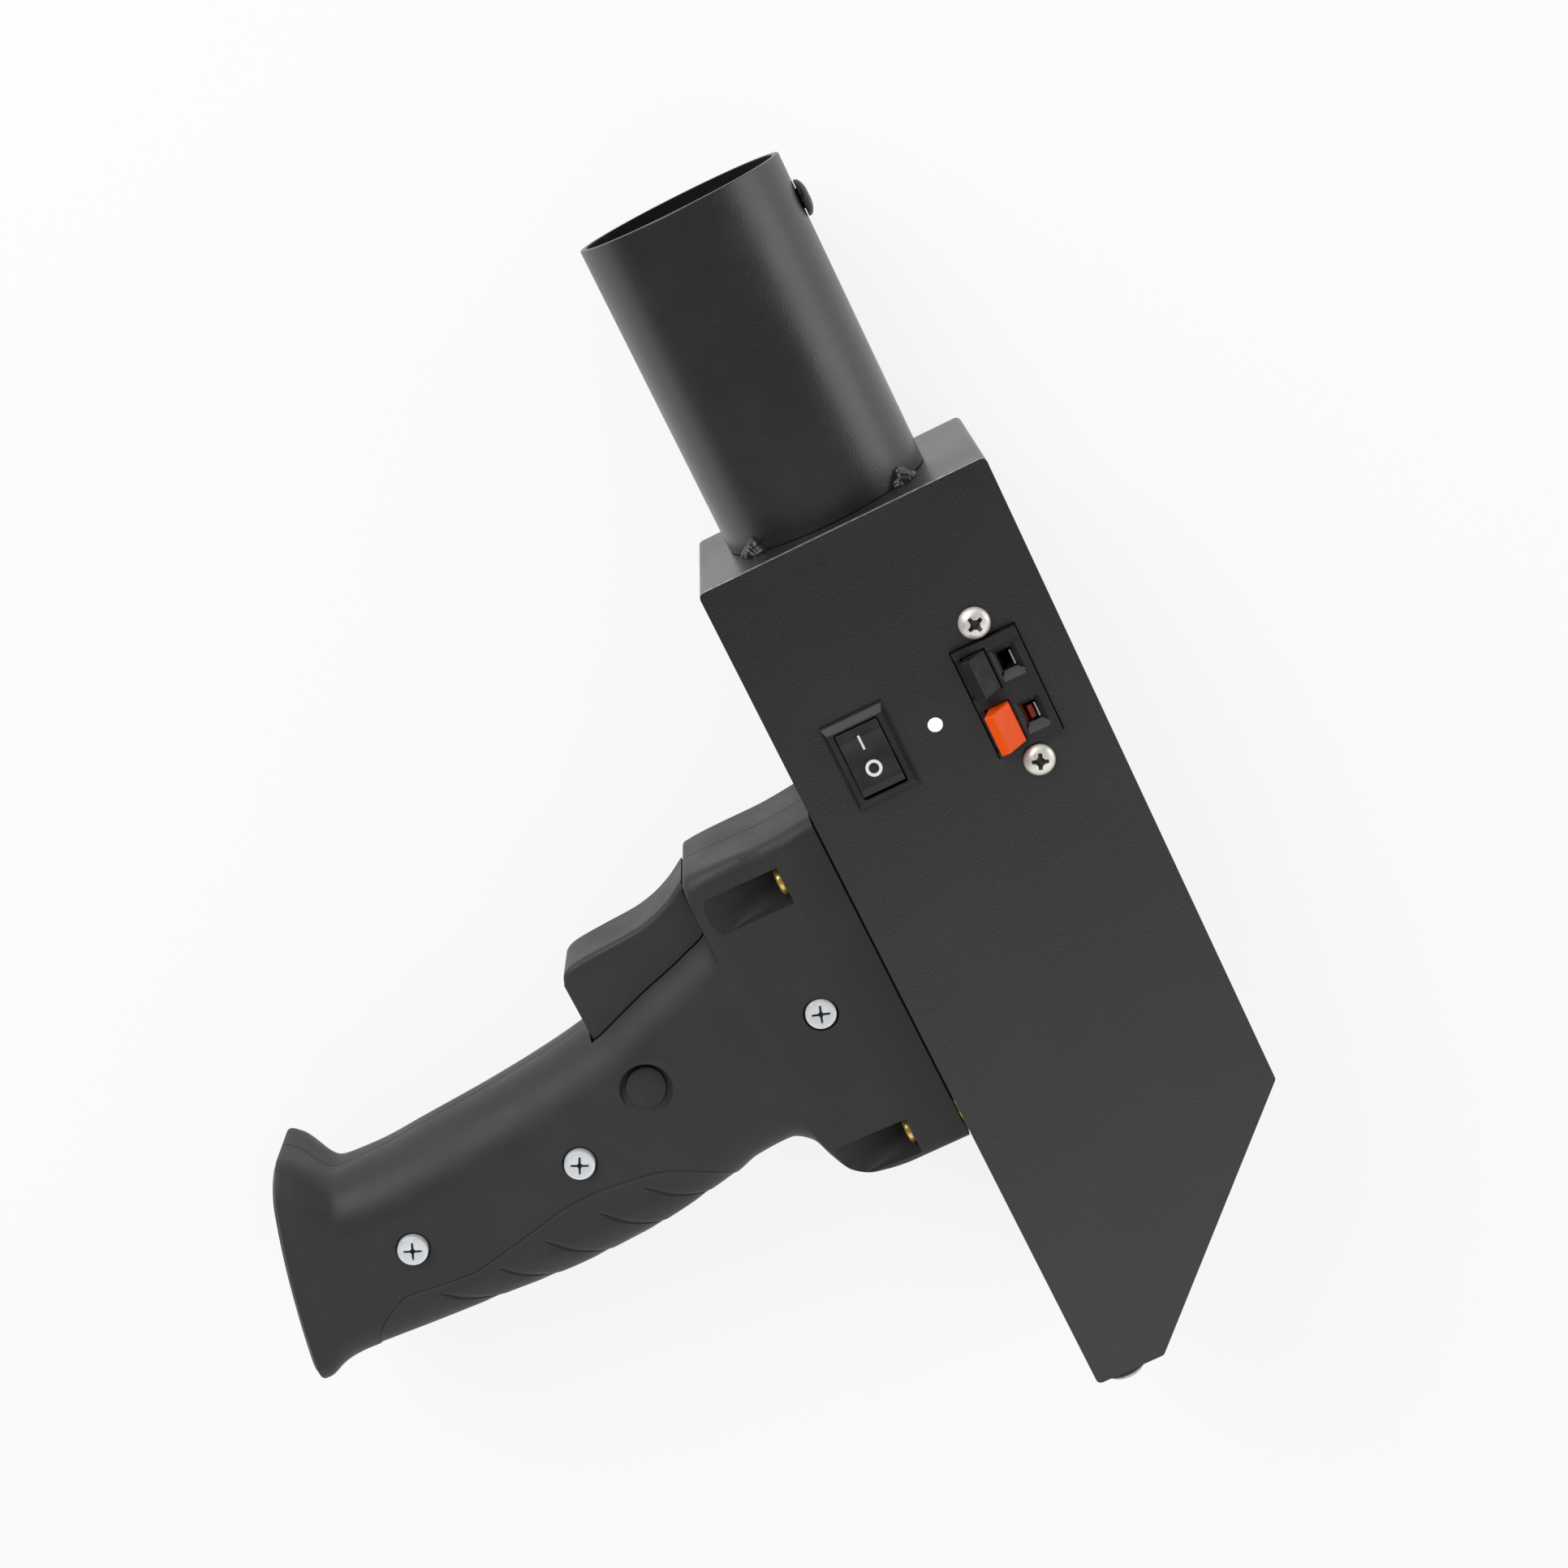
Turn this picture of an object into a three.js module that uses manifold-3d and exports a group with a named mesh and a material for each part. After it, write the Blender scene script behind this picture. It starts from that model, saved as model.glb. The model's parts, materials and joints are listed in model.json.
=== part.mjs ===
// Hand-held single-shot cold spark gun: a steel launch tube welded to a folded sheet-metal housing,
// with a moulded pistol grip in two halves, a sliding trigger and a small control panel.
// Millimetres. While the pieces are built, the tube's axis is the Y axis (muzzle at +Y), the front
// plate's face is at y = 0, +X points away from the grip and +Z out of the panel with the controls.
// The finished group is moved so that its origin is under the middle of the part, which lies on
// its plain side panel.

import * as THREE from "three";
import { mergeVertices } from "three/addons/utils/BufferGeometryUtils.js";
import Module from "manifold-3d";

const wasm = await Module();
wasm.setup();

// General clearances and overruns
const seatGap = 0.2;
const runningGap = 0.3;
const threadGap = 0.15;
const cutOverrun = 2;
const rootOverlap = 0.4;

// Launch tube
const tubeDiameter = 48;
const tubeWall = 1.6;
const tubeLength = 74;
const tubeSides = 48;
const weldBeadWidth = 6.4;
const weldBeadHeight = 4.6;
const weldBeadRise = 4.2;
const weldBeadAngle = THREE.MathUtils.degToRad(51);

// Clamp screw near the muzzle
const clampThread = 5;
const clampHeadDiameter = 8.5;
const clampHeadHeight = 2;
const clampFromMuzzle = 11;
const clampReach = 2.2;

// Housing: a folded tray whose open side is closed by the flat cover that carries the controls
const housingTop = 35.8;
const housingBottom = 32.2;
const housingThickness = 62;
const housingLength = 212.2;
const topWallLength = 159.4;
const buttHeight = 17;
const sheet = 1.5;
const bendRadius = 4;
const cornerRadius = 1.2;
const leastRadius = 0.1;
const lipHeight = 8.5;

// The cover's lips: the wall each one runs along, counted round the outline, and where it starts
// and ends along that wall
const coverLips = [
  { wall: 1, shares: [0.04, 0.93] },
  { wall: 3, shares: [0.06, 0.94] },
  { wall: 4, shares: [0.05, 0.94] },
];

// Countersunk cover screws, through the tray's walls into the cover's lips
const coverThread = 3;
const coverHeadDiameter = 5.6;
const coverHeadHeight = 1.3;
const coverHeadDrop = 0.1;
const coverScrewLength = 6;
const coverScrewInset = 4.3;
const coverScrewFromFront = 22;
const coverScrewFromRear = 26;
const coverScrewPlaces = [
  { wall: "top", setback: coverScrewFromFront },
  { wall: "top", setback: topWallLength - coverScrewFromRear },
  { wall: "bottom", setback: coverScrewFromFront },
  { wall: "bottom", setback: housingLength - coverScrewFromRear },
];

// Charging socket in the butt wall
const socketAcross = -25;
const socketInset = 7.8;
const socketFlangeDiameter = 12;
const socketFlangeHeight = 3.2;
const socketThread = 8;
const socketLength = 10;
const socketBore = 5.6;
const socketBoreDepth = 8.6;
const socketPin = 2;
const socketNutAcross = 10;
const socketNutHeight = 2;

// The row of controls on the side panel
const controlsSetback = 48.8;

// Rocker switch
const rockerAcross = -14.4;
const bezelWidth = 15;
const bezelLength = 21;
const bezelHeight = 2;
const bezelChamfer = 0.9;
const rockerWindowWidth = 10.6;
const rockerWindowLength = 16.4;
const rockerBodyInset = 0.9;
const rockerDepth = 14;
const paddleWidth = 10;
const paddleLength = 14.8;
const paddleMiddleHeight = 5;
const paddlePivotDepth = 2.2;
const paddleFoot = 4.2;
const paddlePinRadius = 1.2;
const paddlePinReach = 1.1;
const paddleTilt = THREE.MathUtils.degToRad(8);
const lugWidth = 4.8;
const lugThickness = 0.8;
const lugLength = 7;

// Indicator lamp
const lampAcross = 1.4;
const lampDiameter = 3;
const lampProud = 0.9;
const lampFlange = 3.9;
const lampDepth = 4.4;

// Push terminal for the igniter leads
const terminalAcross = 18.6;
const terminalWidth = 15.1;
const terminalScrewSpacing = 34.2;
const terminalHeadDiameter = 7.4;
const terminalHeadGap = 0.7;
const terminalLength = terminalScrewSpacing - terminalHeadDiameter - terminalHeadGap;
const terminalProud = 1.2;
const terminalRidge = 2.4;
const terminalRidgeRise = 0.8;
const terminalDepth = 12;
const terminalWall = 1.3;
const earBeyondScrew = 3.9;
const earLength = terminalScrewSpacing + 2 * earBeyondScrew;
const earWidth = 10;
const earThickness = 2;
const leverSeparation = 3.45;
const leverWidth = terminalLength / 2 - leverSeparation;
const leverPivotAcross = 1;
const leverPivotDepth = 4.6;
const leverPinRadius = 0.9;
const leverInnerAcross = 0.7;
const leverCrestAcross = 5.1;
const leverTipAcross = 7;
const leverFootAcross = 5.3;
const leverCrestHeight = 5.4;
const leverTipHeight = 4.7;
const leverToeHeight = 1.4;
const partitionDepth = 2.4;
const notchDepth = 1.8;
const portWidth = 3.5;
const portLength = 4.6;
const portAcross = 3;
const portFunnel = 1.1;
const contactThickness = 0.5;
const contactTail = 4;
const contactWidth = 3.4;
const terminalThread = 3.5;
const terminalHeadHeight = 2.4;
const terminalNutAcross = 6;
const terminalNutHeight = 2.4;

// Grip halves
const gripDrop = 168.2;
const headSetback = 60;
const headLength = 87.2;
const gripThickness = 36;
const gripWall = 2.6;
const flangeThickness = 13.2;
const partingGap = 0.3;
const gripCornerSteps = 5;
const wireHoleDiameter = 8;
const wireHoleBackShare = 0.688;

// Stations down the grip, as shares: drop of the front point and its way back along the head, the
// same for the rear point, half the thickness, then the front and rear corner radii.
const gripStationShares = [
  [0, -0.004, 0, 1, 0.5, 0.08, 0.08],
  [0.094, 0.01, 0.094, 1, 0.5, 0.085, 0.085],
  [0.165, 0.007, 0.15, 0.991, 0.485, 0.1, 0.1],
  [0.2, 0.009, 0.181, 0.963, 0.475, 0.12, 0.14],
  [0.209, 0.05, 0.196, 0.912, 0.468, 0.15, 0.17],
  [0.212, 0.172, 0.209, 0.853, 0.462, 0.26, 0.2],
  [0.255, 0.208, 0.238, 0.816, 0.458, 0.3, 0.22],
  [0.335, 0.252, 0.292, 0.825, 0.455, 0.33, 0.24],
  [0.378, 0.279, 0.327, 0.846, 0.452, 0.345, 0.245],
  [0.421, 0.305, 0.368, 0.864, 0.45, 0.36, 0.25],
  [0.511, 0.334, 0.475, 0.896, 0.446, 0.38, 0.25],
  [0.61, 0.354, 0.588, 0.905, 0.443, 0.39, 0.25],
  [0.71, 0.368, 0.71, 0.892, 0.443, 0.39, 0.25],
  [0.79, 0.379, 0.83, 0.877, 0.446, 0.38, 0.24],
  [0.829, 0.379, 0.892, 0.865, 0.45, 0.36, 0.22],
  [0.853, 0.378, 0.933, 0.857, 0.455, 0.33, 0.2],
  [0.868, 0.345, 0.96, 0.859, 0.46, 0.3, 0.18],
  [0.877, 0.304, 0.979, 0.877, 0.465, 0.27, 0.16],
  [0.888, 0.267, 0.992, 0.881, 0.466, 0.25, 0.15],
  [0.902, 0.255, 0.998, 0.875, 0.46, 0.24, 0.14],
  [0.911, 0.272, 1, 0.862, 0.42, 0.22, 0.12],
];
const cavityFirstStation = 2;

// Height of the grip's flat side at each joining screw and at the recess, as shares of thickness
const gripFaceShares = [0.49, 0.4478, 0.4445];
const recessFaceShare = 0.454;

// Screws that join the grip halves: drop as a share of the grip's, and way back as a share of the
// head's length
const gripThread = 3.5;
const gripHeadDiameter = 7.3;
const gripHeadHeight = 2.3;
const gripScrewLength = 24;
const gripScrewPlaces = [
  { dropShare: 0.1165, backShare: 0.5, seatDepth: 2.6 },
  { dropShare: 0.5149, backShare: 0.6009, seatDepth: 1.1 },
  { dropShare: 0.7836, backShare: 0.6227, seatDepth: 1.1 },
];
const gripSeatDiameter = 8.6;
const bossDiameter = 9.6;

// Blind round recess of the moulded lock-button place
const recessDiameter = 12.5;
const recessDepth = 1.7;
const recessDiscDiameter = 10.4;
const recessDiscDrop = 1.2;
const recessDropShare = 0.3817;
const recessBackShare = 0.4885;

// Flange screws, in the troughs of the grip's head, whose floors rise to the skin
const flangeThread = 4;
const flangeHeadDiameter = 7;
const flangeHeadHeight = 1.6;
const flangeBackShares = [0.133, 0.9243];
const flangeScrewSide = 12.6;
const troughRadius = 4.7;
const troughPad = 2;
const troughLength = 22;
const troughRise = 9.2;
const troughSteps = 16;
const flangeNutAcross = 7;
const flangeNutHeight = 3.2;

// Trigger, its slider, spring and switch
const triggerTopShare = 0.2093;
const triggerHeightShare = 0.2146;
const triggerBackShare = 0.0275;
const triggerDepthShare = 0.3555;
const triggerThickness = 19;
const triggerEdge = 1.8;
const triggerTravel = 7;
const triggerFrontShares = [
  [0, 0],
  [0.15, 0.105],
  [0.3, 0.172],
  [0.44, 0.203],
  [0.62, 0.215],
  [0.8, 0.228],
  [0.9, 0.245],
  [0.965, 0.285],
  [1, 0.37],
];
const triggerPocketDiameter = 11.4;
const triggerPocketDepth = 14;
const sliderDiameter = 4.6;
const sliderSeatDepth = 4;
const sliderDropShare = 0.5;
const springWire = 1;
const springMean = 8;
const springTurns = 6;
const springStepsPerTurn = 8;
const springSides = 5;
const switchHeight = 30;
const switchLengthShare = 0.2592;
const switchThickness = 16.6;
const switchClearance = 1;
const switchRibThickness = 2;
const switchRibShares = [0.2, 0.8];
const switchTabWidth = 4;
const switchTabHeight = 4.5;
const switchTabThickness = 0.8;

// Battery pack of two round cells side by side in a shrunk sleeve, and the clip that holds it
const cellDiameter = 18.6;
const batteryLength = 65;
const sleeveEdge = 1.4;
const batterySetback = 82;
const batteryAcross = 4;
const clipSheet = 0.8;
const clipLength = 24;
const clipArm = 13;

// Hook-up wire
const wireDiameter = 1.8;
const wireSides = 8;
const wireStep = 4.5;

// Where each wire turns on its way, as shares of the ways across and along
const batteryRedShares = [0.4, 0.5];
const batteryBlackShares = [0.4, 0.6];
const triggerRedShares = [0.4, 0.7];
const triggerBlackShares = [0.6, 0.7];
const gripRedShares = [0.7, 0.45];
const gripBlackShares = [0.7, 0.6];
const chargingShares = [0.5, 0.5];

// Derived places
const halfThickness = housingThickness / 2;
const tubeRadius = tubeDiameter / 2;
const controlsY = -controlsSetback;
const gripTopX = -housingBottom - seatGap;
const wireHoleSetback = headSetback + wireHoleBackShare * headLength;
const triggerTopX = gripTopX - triggerTopShare * gripDrop;
const triggerHeight = triggerHeightShare * gripDrop;
const triggerSetback = headSetback + triggerBackShare * headLength;
const triggerDepth = triggerDepthShare * headLength;
const switchLength = switchLengthShare * headLength;
const sliderX = triggerTopX - triggerHeight * sliderDropShare;
const triggerRearY = -triggerSetback - triggerDepth;
const switchFrontY = triggerRearY - triggerTravel - switchClearance;
const onGrip = (dropShare, backShare) => [
  gripTopX - dropShare * gripDrop,
  -headSetback - backShare * headLength,
];

// Materials, as the photograph shows them
const look = (color, roughness, metalness) =>
  new THREE.MeshStandardMaterial({ color, roughness, metalness });
const blackPaint = look(0x262628, 0.5, 0.2);
const blackPlastic = look(0x2a2a2a, 0.55, 0);
const glossPlastic = look(0x1b1b1d, 0.35, 0);
const redPlastic = look(0xff4a12, 0.4, 0);
const nickel = look(0xd8d4c8, 0.25, 1);
const zinc = look(0xd5dade, 0.3, 1);
const yellowZinc = look(0xc9a54a, 0.3, 1);
const brass = look(0xb89a4e, 0.35, 1);
const springSteel = look(0xa9a9a6, 0.3, 1);
const lampLens = look(0xf4f4ee, 0.2, 0);
const sleeve = look(0x2c5aa8, 0.4, 0);
const redWire = look(0xa81a12, 0.4, 0);

// A closed three.js geometry as a solid
function solid(geometry) {
  const bare = geometry.clone();
  bare.deleteAttribute("normal");
  bare.deleteAttribute("uv");
  const merged = mergeVertices(bare);
  const index = merged.index.array;
  const kept = [];
  for (let i = 0; i < index.length; i += 3) {
    const [a, b, c] = [index[i], index[i + 1], index[i + 2]];
    if (a !== b && b !== c && c !== a) kept.push(a, b, c);
  }
  const vertProperties = new Float32Array(merged.attributes.position.array);
  return new wasm.Manifold(
    new wasm.Mesh({ numProp: 3, vertProperties, triVerts: new Uint32Array(kept) }),
  );
}

// A solid as a three.js geometry
function surface(body) {
  const mesh = body.getMesh();
  const geometry = new THREE.BufferGeometry();
  geometry.setAttribute("position", new THREE.BufferAttribute(mesh.vertProperties, 3));
  geometry.setIndex(new THREE.BufferAttribute(mesh.triVerts, 1));
  geometry.computeVertexNormals();
  return geometry;
}

// Joins and cuts of several solids at once
const join = (...bodies) => bodies.reduce((sum, body) => sum.add(body));
const cut = (body, ...tools) => tools.reduce((rest, tool) => rest.subtract(tool), body);

// A box between two corners
function block(low, high) {
  const size = high.map((value, i) => value - low[i]);
  const geometry = new THREE.BoxGeometry(...size);
  geometry.translate(...low.map((value, i) => value + size[i] / 2));
  return solid(geometry);
}

// A shape's outline from points
function outline(points) {
  return new THREE.Shape(points.map(([a, b]) => new THREE.Vector2(a, b)));
}

// Prisms along Z from [x, y] points, along Y from [x, z] points and along X from [y, z] points
function prismZ(points, low, high) {
  const geometry = new THREE.ExtrudeGeometry(outline(points), {
    depth: high - low,
    bevelEnabled: false,
  });
  geometry.translate(0, 0, low);
  return solid(geometry);
}
function prismY(points, low, high) {
  const geometry = new THREE.ExtrudeGeometry(outline(points), {
    depth: high - low,
    bevelEnabled: false,
  });
  geometry.rotateX(Math.PI / 2);
  geometry.translate(0, high, 0);
  return solid(geometry);
}
function prismX(points, low, high) {
  const turned = points.map(([y, z]) => [-z, y]);
  const geometry = new THREE.ExtrudeGeometry(outline(turned), {
    depth: high - low,
    bevelEnabled: false,
  });
  geometry.rotateY(Math.PI / 2);
  geometry.translate(low, 0, 0);
  return solid(geometry);
}

const towards = {
  x: new THREE.Vector3(1, 0, 0),
  y: new THREE.Vector3(0, 1, 0),
  z: new THREE.Vector3(0, 0, 1),
  backX: new THREE.Vector3(-1, 0, 0),
  backY: new THREE.Vector3(0, -1, 0),
};

// Stands a geometry built along +Y in another direction at a place
function aim(geometry, direction, place) {
  geometry.applyQuaternion(new THREE.Quaternion().setFromUnitVectors(towards.y, direction));
  geometry.translate(...place);
  return geometry;
}

// A round bar that starts at a place and runs in a direction
function rod(radius, length, direction, place, sides = 20) {
  const geometry = new THREE.CylinderGeometry(radius, radius, length, sides);
  geometry.translate(0, length / 2, 0);
  return solid(aim(geometry, direction, place));
}

// A turned piece from [radius, height] points that start and end on its axis
function turned(points, direction, place, sides = 24) {
  const profile = points.map(([radius, height]) => new THREE.Vector2(radius, height));
  return solid(aim(new THREE.LatheGeometry(profile, sides), direction, place));
}

// A screw whose head's underside sits at the place, with its shank running back from there
function screw(thread, headDiameter, headHeight, length, direction, place) {
  const headRadius = headDiameter / 2;
  const rimShare = 0.35;
  const crownRadiusShare = 0.72;
  const crownHeightShare = 0.86;
  const tipRadiusShare = 0.7;
  const tipLengthShare = 0.5;
  return turned(
    [
      [0, -length],
      [(thread / 2) * tipRadiusShare, -length],
      [thread / 2, -length + thread * tipLengthShare],
      [thread / 2, 0],
      [headRadius, 0],
      [headRadius, headHeight * rimShare],
      [headRadius * crownRadiusShare, headHeight * crownHeightShare],
      [0, headHeight],
    ],
    direction,
    place,
  );
}

// A hexagon nut whose near face is at the place, with its bore right through
function hexNut(across, height, thread, direction, place) {
  const cornerRadius = across / Math.sqrt(3);
  const body = rod(cornerRadius, height, direction, place, 6);
  const start = new THREE.Vector3(...place).addScaledVector(direction, -cutOverrun);
  const boreLength = height + 2 * cutOverrun;
  const bore = rod(thread / 2 + threadGap, boreLength, direction, start.toArray());
  return cut(body, bore);
}

// A skin over rings of points, closed by a fan at each end
function skin(rings) {
  const count = rings[0].length;
  const positions = [];
  const index = [];
  for (const ring of rings) for (const point of ring) positions.push(point.x, point.y, point.z);
  for (let r = 0; r + 1 < rings.length; r += 1) {
    for (let i = 0; i < count; i += 1) {
      const a = r * count + i;
      const b = r * count + ((i + 1) % count);
      index.push(a, b, b + count, a, b + count, a + count);
    }
  }
  for (const [ring, first, flip] of [
    [rings[0], 0, true],
    [rings.at(-1), (rings.length - 1) * count, false],
  ]) {
    const middle = ring
      .reduce((sum, point) => sum.add(point), new THREE.Vector3())
      .divideScalar(count);
    const hub = positions.length / 3;
    positions.push(middle.x, middle.y, middle.z);
    for (let i = 0; i < count; i += 1) {
      const [a, b] = [first + i, first + ((i + 1) % count)];
      index.push(...(flip ? [hub, b, a] : [hub, a, b]));
    }
  }
  const geometry = new THREE.BufferGeometry();
  geometry.setAttribute("position", new THREE.Float32BufferAttribute(positions, 3));
  geometry.setIndex(index);
  return geometry;
}

// The solid inside such a skin, whichever way round its rings run
function loft(rings) {
  const body = solid(skin(rings));
  return body.volume() > 0 ? body : solid(skin(rings.toReversed()));
}

// A slab between two heights whose outline in [x, y] draws in to round its edges
function softSlab(points, low, high, edge, steps) {
  const box = new THREE.Box2().setFromPoints(points);
  const middle = box.getCenter(new THREE.Vector2());
  const half = box.getSize(new THREE.Vector2()).divideScalar(2);
  const ring = (inset, z) =>
    points.map(
      ({ x, y }) =>
        new THREE.Vector3(
          middle.x + (x - middle.x) * (1 - inset / half.x),
          middle.y + (y - middle.y) * (1 - inset / half.y),
          z,
        ),
    );
  const quarter = Array.from({ length: steps + 1 }, (_, i) => {
    const angle = (Math.PI / 2) * (i / steps);
    return [edge * (1 - Math.sin(angle)), edge * (1 - Math.cos(angle))];
  });
  const lower = quarter.map(([inset, rise]) => ring(inset, low + rise));
  const upper = quarter.map(([inset, rise]) => ring(inset, high - rise)).reverse();
  return loft([...lower, ...upper]);
}

const parts = new THREE.Group();

function addPart(name, body, material) {
  const mesh = new THREE.Mesh(surface(body), material.clone());
  mesh.name = name;
  parts.add(mesh);
}

// Outline of the side panels in [x, y], with the rear corner cut off at a slant
const panelOutline = [
  [housingTop, 0],
  [-housingBottom, 0],
  [-housingBottom, -housingLength],
  [-housingBottom + buttHeight, -housingLength],
  [housingTop, -topWallLength],
];

// Points of an arc about a middle, in degrees
function arc(middle, radius, from, to, steps) {
  return Array.from({ length: steps + 1 }, (_, i) => {
    const angle = THREE.MathUtils.degToRad(from + ((to - from) * i) / steps);
    return [middle[0] + radius * Math.cos(angle), middle[1] + radius * Math.sin(angle)];
  });
}

// That outline drawn in by an inset, with its corners rounded, at a height
function panelRing(inset, z) {
  const corners = panelOutline.map(([x, y]) => new THREE.Vector2(x, y));
  const inwards = corners.map((corner, i) => {
    const along = corners[(i + 1) % corners.length].clone().sub(corner).normalize();
    return new THREE.Vector2(-along.y, along.x);
  });
  const radius = Math.max(cornerRadius - inset, leastRadius);
  const cornerSteps = 3;
  return corners.flatMap((corner, i) => {
    const before = inwards[(i + corners.length - 1) % corners.length];
    const after = inwards[i];
    const distance = (inset + radius) / (1 + before.dot(after));
    const middle = corner.clone().addScaledVector(before.clone().add(after), distance);
    const start = Math.atan2(-before.y, -before.x);
    const sweep = Math.atan2(before.cross(after), before.dot(after));
    return Array.from({ length: cornerSteps + 1 }, (_, k) => {
      const angle = start + (sweep * k) / cornerSteps;
      return new THREE.Vector3(
        middle.x + radius * Math.cos(angle),
        middle.y + radius * Math.sin(angle),
        z,
      );
    });
  });
}

// A tray-shaped solid: the panel's outline, with a bend round the edge of its lower face
function trayForm(inset, radius, low, high) {
  const bendSteps = 4;
  const bend = Array.from({ length: bendSteps + 1 }, (_, i) => {
    const angle = (Math.PI / 2) * (i / bendSteps);
    return panelRing(inset + radius * (1 - Math.sin(angle)), low + radius * (1 - Math.cos(angle)));
  });
  return loft([...bend, panelRing(inset, high)]);
}

// A strip that runs inside one wall of the outline, between two shares of the wall's length
function wallStrip(wall, [from, to], [near, far], low, high) {
  const start = new THREE.Vector2(...panelOutline[wall]);
  const end = new THREE.Vector2(...panelOutline[(wall + 1) % panelOutline.length]);
  const along = end.clone().sub(start);
  const inward = new THREE.Vector2(-along.y, along.x).normalize();
  const point = (share, depth) =>
    start.clone().addScaledVector(along, share).addScaledVector(inward, depth).toArray();
  return prismZ([point(from, near), point(from, far), point(to, far), point(to, near)], low, high);
}

const coverUnder = halfThickness - sheet;
const coverScrewZ = coverUnder - coverScrewInset;
const socketZ = halfThickness - socketInset;
const buttY = -housingLength;

// Outward way and outer level of the wall that a cover screw goes through
const screwWall = {
  top: { way: towards.x, x: housingTop },
  bottom: { way: towards.backX, x: -housingBottom },
};

const flangeScrewPlaces = flangeBackShares.flatMap((share) =>
  [1, -1].map((side) => [-headSetback - share * headLength, side * flangeScrewSide]),
);

// The tray: plain side panel, front plate, top, bottom, slanted rear and butt walls
function tray() {
  const rim = coverUnder - seatGap;
  const outer = trayForm(0, bendRadius, -halfThickness, rim);
  const inner = trayForm(sheet, bendRadius - sheet, -halfThickness + sheet, rim + cutOverrun);
  const sinks = coverScrewPlaces.map(({ wall, setback }) => {
    const { way, x } = screwWall[wall];
    const rimRadius = coverHeadDiameter / 2 + seatGap;
    const neckRadius = coverThread / 2 + seatGap;
    return turned(
      [
        [0, -cutOverrun],
        [neckRadius, -cutOverrun],
        [neckRadius, -coverHeadDrop - coverHeadHeight],
        [rimRadius, -coverHeadDrop],
        [rimRadius, cutOverrun],
        [0, cutOverrun],
      ],
      way,
      [x, -setback, coverScrewZ],
    );
  });
  const through = sheet + 2 * cutOverrun;
  const below = -housingBottom - cutOverrun;
  const flangeHoles = flangeScrewPlaces.map(([y, z]) =>
    rod(flangeThread / 2 + runningGap, through, towards.x, [below, y, z]),
  );
  const wireHole = rod(wireHoleDiameter / 2, through, towards.x, [below, -wireHoleSetback, 0]);
  const socketHole = rod(socketThread / 2 + threadGap, through, towards.y, [
    socketAcross,
    buttY - cutOverrun,
    socketZ,
  ]);
  return cut(outer, inner, ...sinks, ...flangeHoles, wireHole, socketHole);
}
addPart("housing_tray", tray(), blackPaint);

// The side cover: a flat plate with lips inside the walls and openings for the controls
function sideCover() {
  const plate = loft([panelRing(0, coverUnder), panelRing(0, halfThickness)]);
  const lipDepths = [sheet + seatGap, 2 * sheet + seatGap];
  const lips = coverLips.map(({ wall, shares }) =>
    wallStrip(wall, shares, lipDepths, coverUnder - lipHeight, coverUnder + rootOverlap),
  );
  const lipHoles = coverScrewPlaces.map(({ wall, setback }) => {
    const { way, x } = screwWall[wall];
    const start = new THREE.Vector3(x, -setback, coverScrewZ).addScaledVector(way, -3 * sheet);
    return rod(coverThread / 2 + threadGap, 3 * sheet, way, start.toArray());
  });
  const topOfPanel = halfThickness + cutOverrun;
  const underPanel = coverUnder - rootOverlap;
  const opening = (x, width, length) =>
    block(
      [x - width / 2, controlsY - length / 2, underPanel],
      [x + width / 2, controlsY + length / 2, topOfPanel],
    );
  const rockerFit = 2 * (runningGap - rockerBodyInset);
  const rockerCut = opening(rockerAcross, bezelWidth + rockerFit, bezelLength + rockerFit);
  const terminalFit = 2 * runningGap;
  const terminalCut = opening(
    terminalAcross,
    terminalWidth + terminalFit,
    terminalLength + terminalFit,
  );
  const lampHole = rod(lampDiameter / 2 + threadGap, topOfPanel - underPanel, towards.z, [
    lampAcross,
    controlsY,
    underPanel,
  ]);
  const screwHoles = [1, -1].map((side) =>
    rod(terminalThread / 2 + runningGap, topOfPanel - underPanel, towards.z, [
      terminalAcross,
      controlsY + (side * terminalScrewSpacing) / 2,
      underPanel,
    ]),
  );
  return cut(join(plate, ...lips), ...lipHoles, rockerCut, terminalCut, lampHole, ...screwHoles);
}
addPart("side_cover", sideCover(), blackPaint);

coverScrewPlaces.forEach(({ wall, setback }, i) => {
  const { way, x } = screwWall[wall];
  const profile = [
    [0, -coverScrewLength],
    [coverThread / 2, -coverScrewLength],
    [coverThread / 2, -coverHeadDrop - coverHeadHeight],
    [coverHeadDiameter / 2, -coverHeadDrop],
    [0, -coverHeadDrop],
  ];
  addPart(`cover_screw_${i + 1}`, turned(profile, way, [x, -setback, coverScrewZ]), blackPaint);
});

// The charging socket: a flanged, threaded barrel with a contact pin in its blind bore
function chargingSocket() {
  const flangeRadius = socketFlangeDiameter / 2;
  const rimShare = 0.6;
  return turned(
    [
      [0, -socketLength],
      [socketThread / 2, -socketLength],
      [socketThread / 2, 0],
      [flangeRadius, 0],
      [flangeRadius, socketFlangeHeight * rimShare],
      [flangeRadius * rimShare, socketFlangeHeight],
      [socketBore / 2, socketFlangeHeight],
      [socketBore / 2, socketFlangeHeight - socketBoreDepth],
      [socketPin / 2, socketFlangeHeight - socketBoreDepth],
      [socketPin / 2, -socketPin / 2],
      [0, 0],
    ],
    towards.backY,
    [socketAcross, buttY - seatGap, socketZ],
  );
}
addPart("charging_socket", chargingSocket(), glossPlastic);
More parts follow.
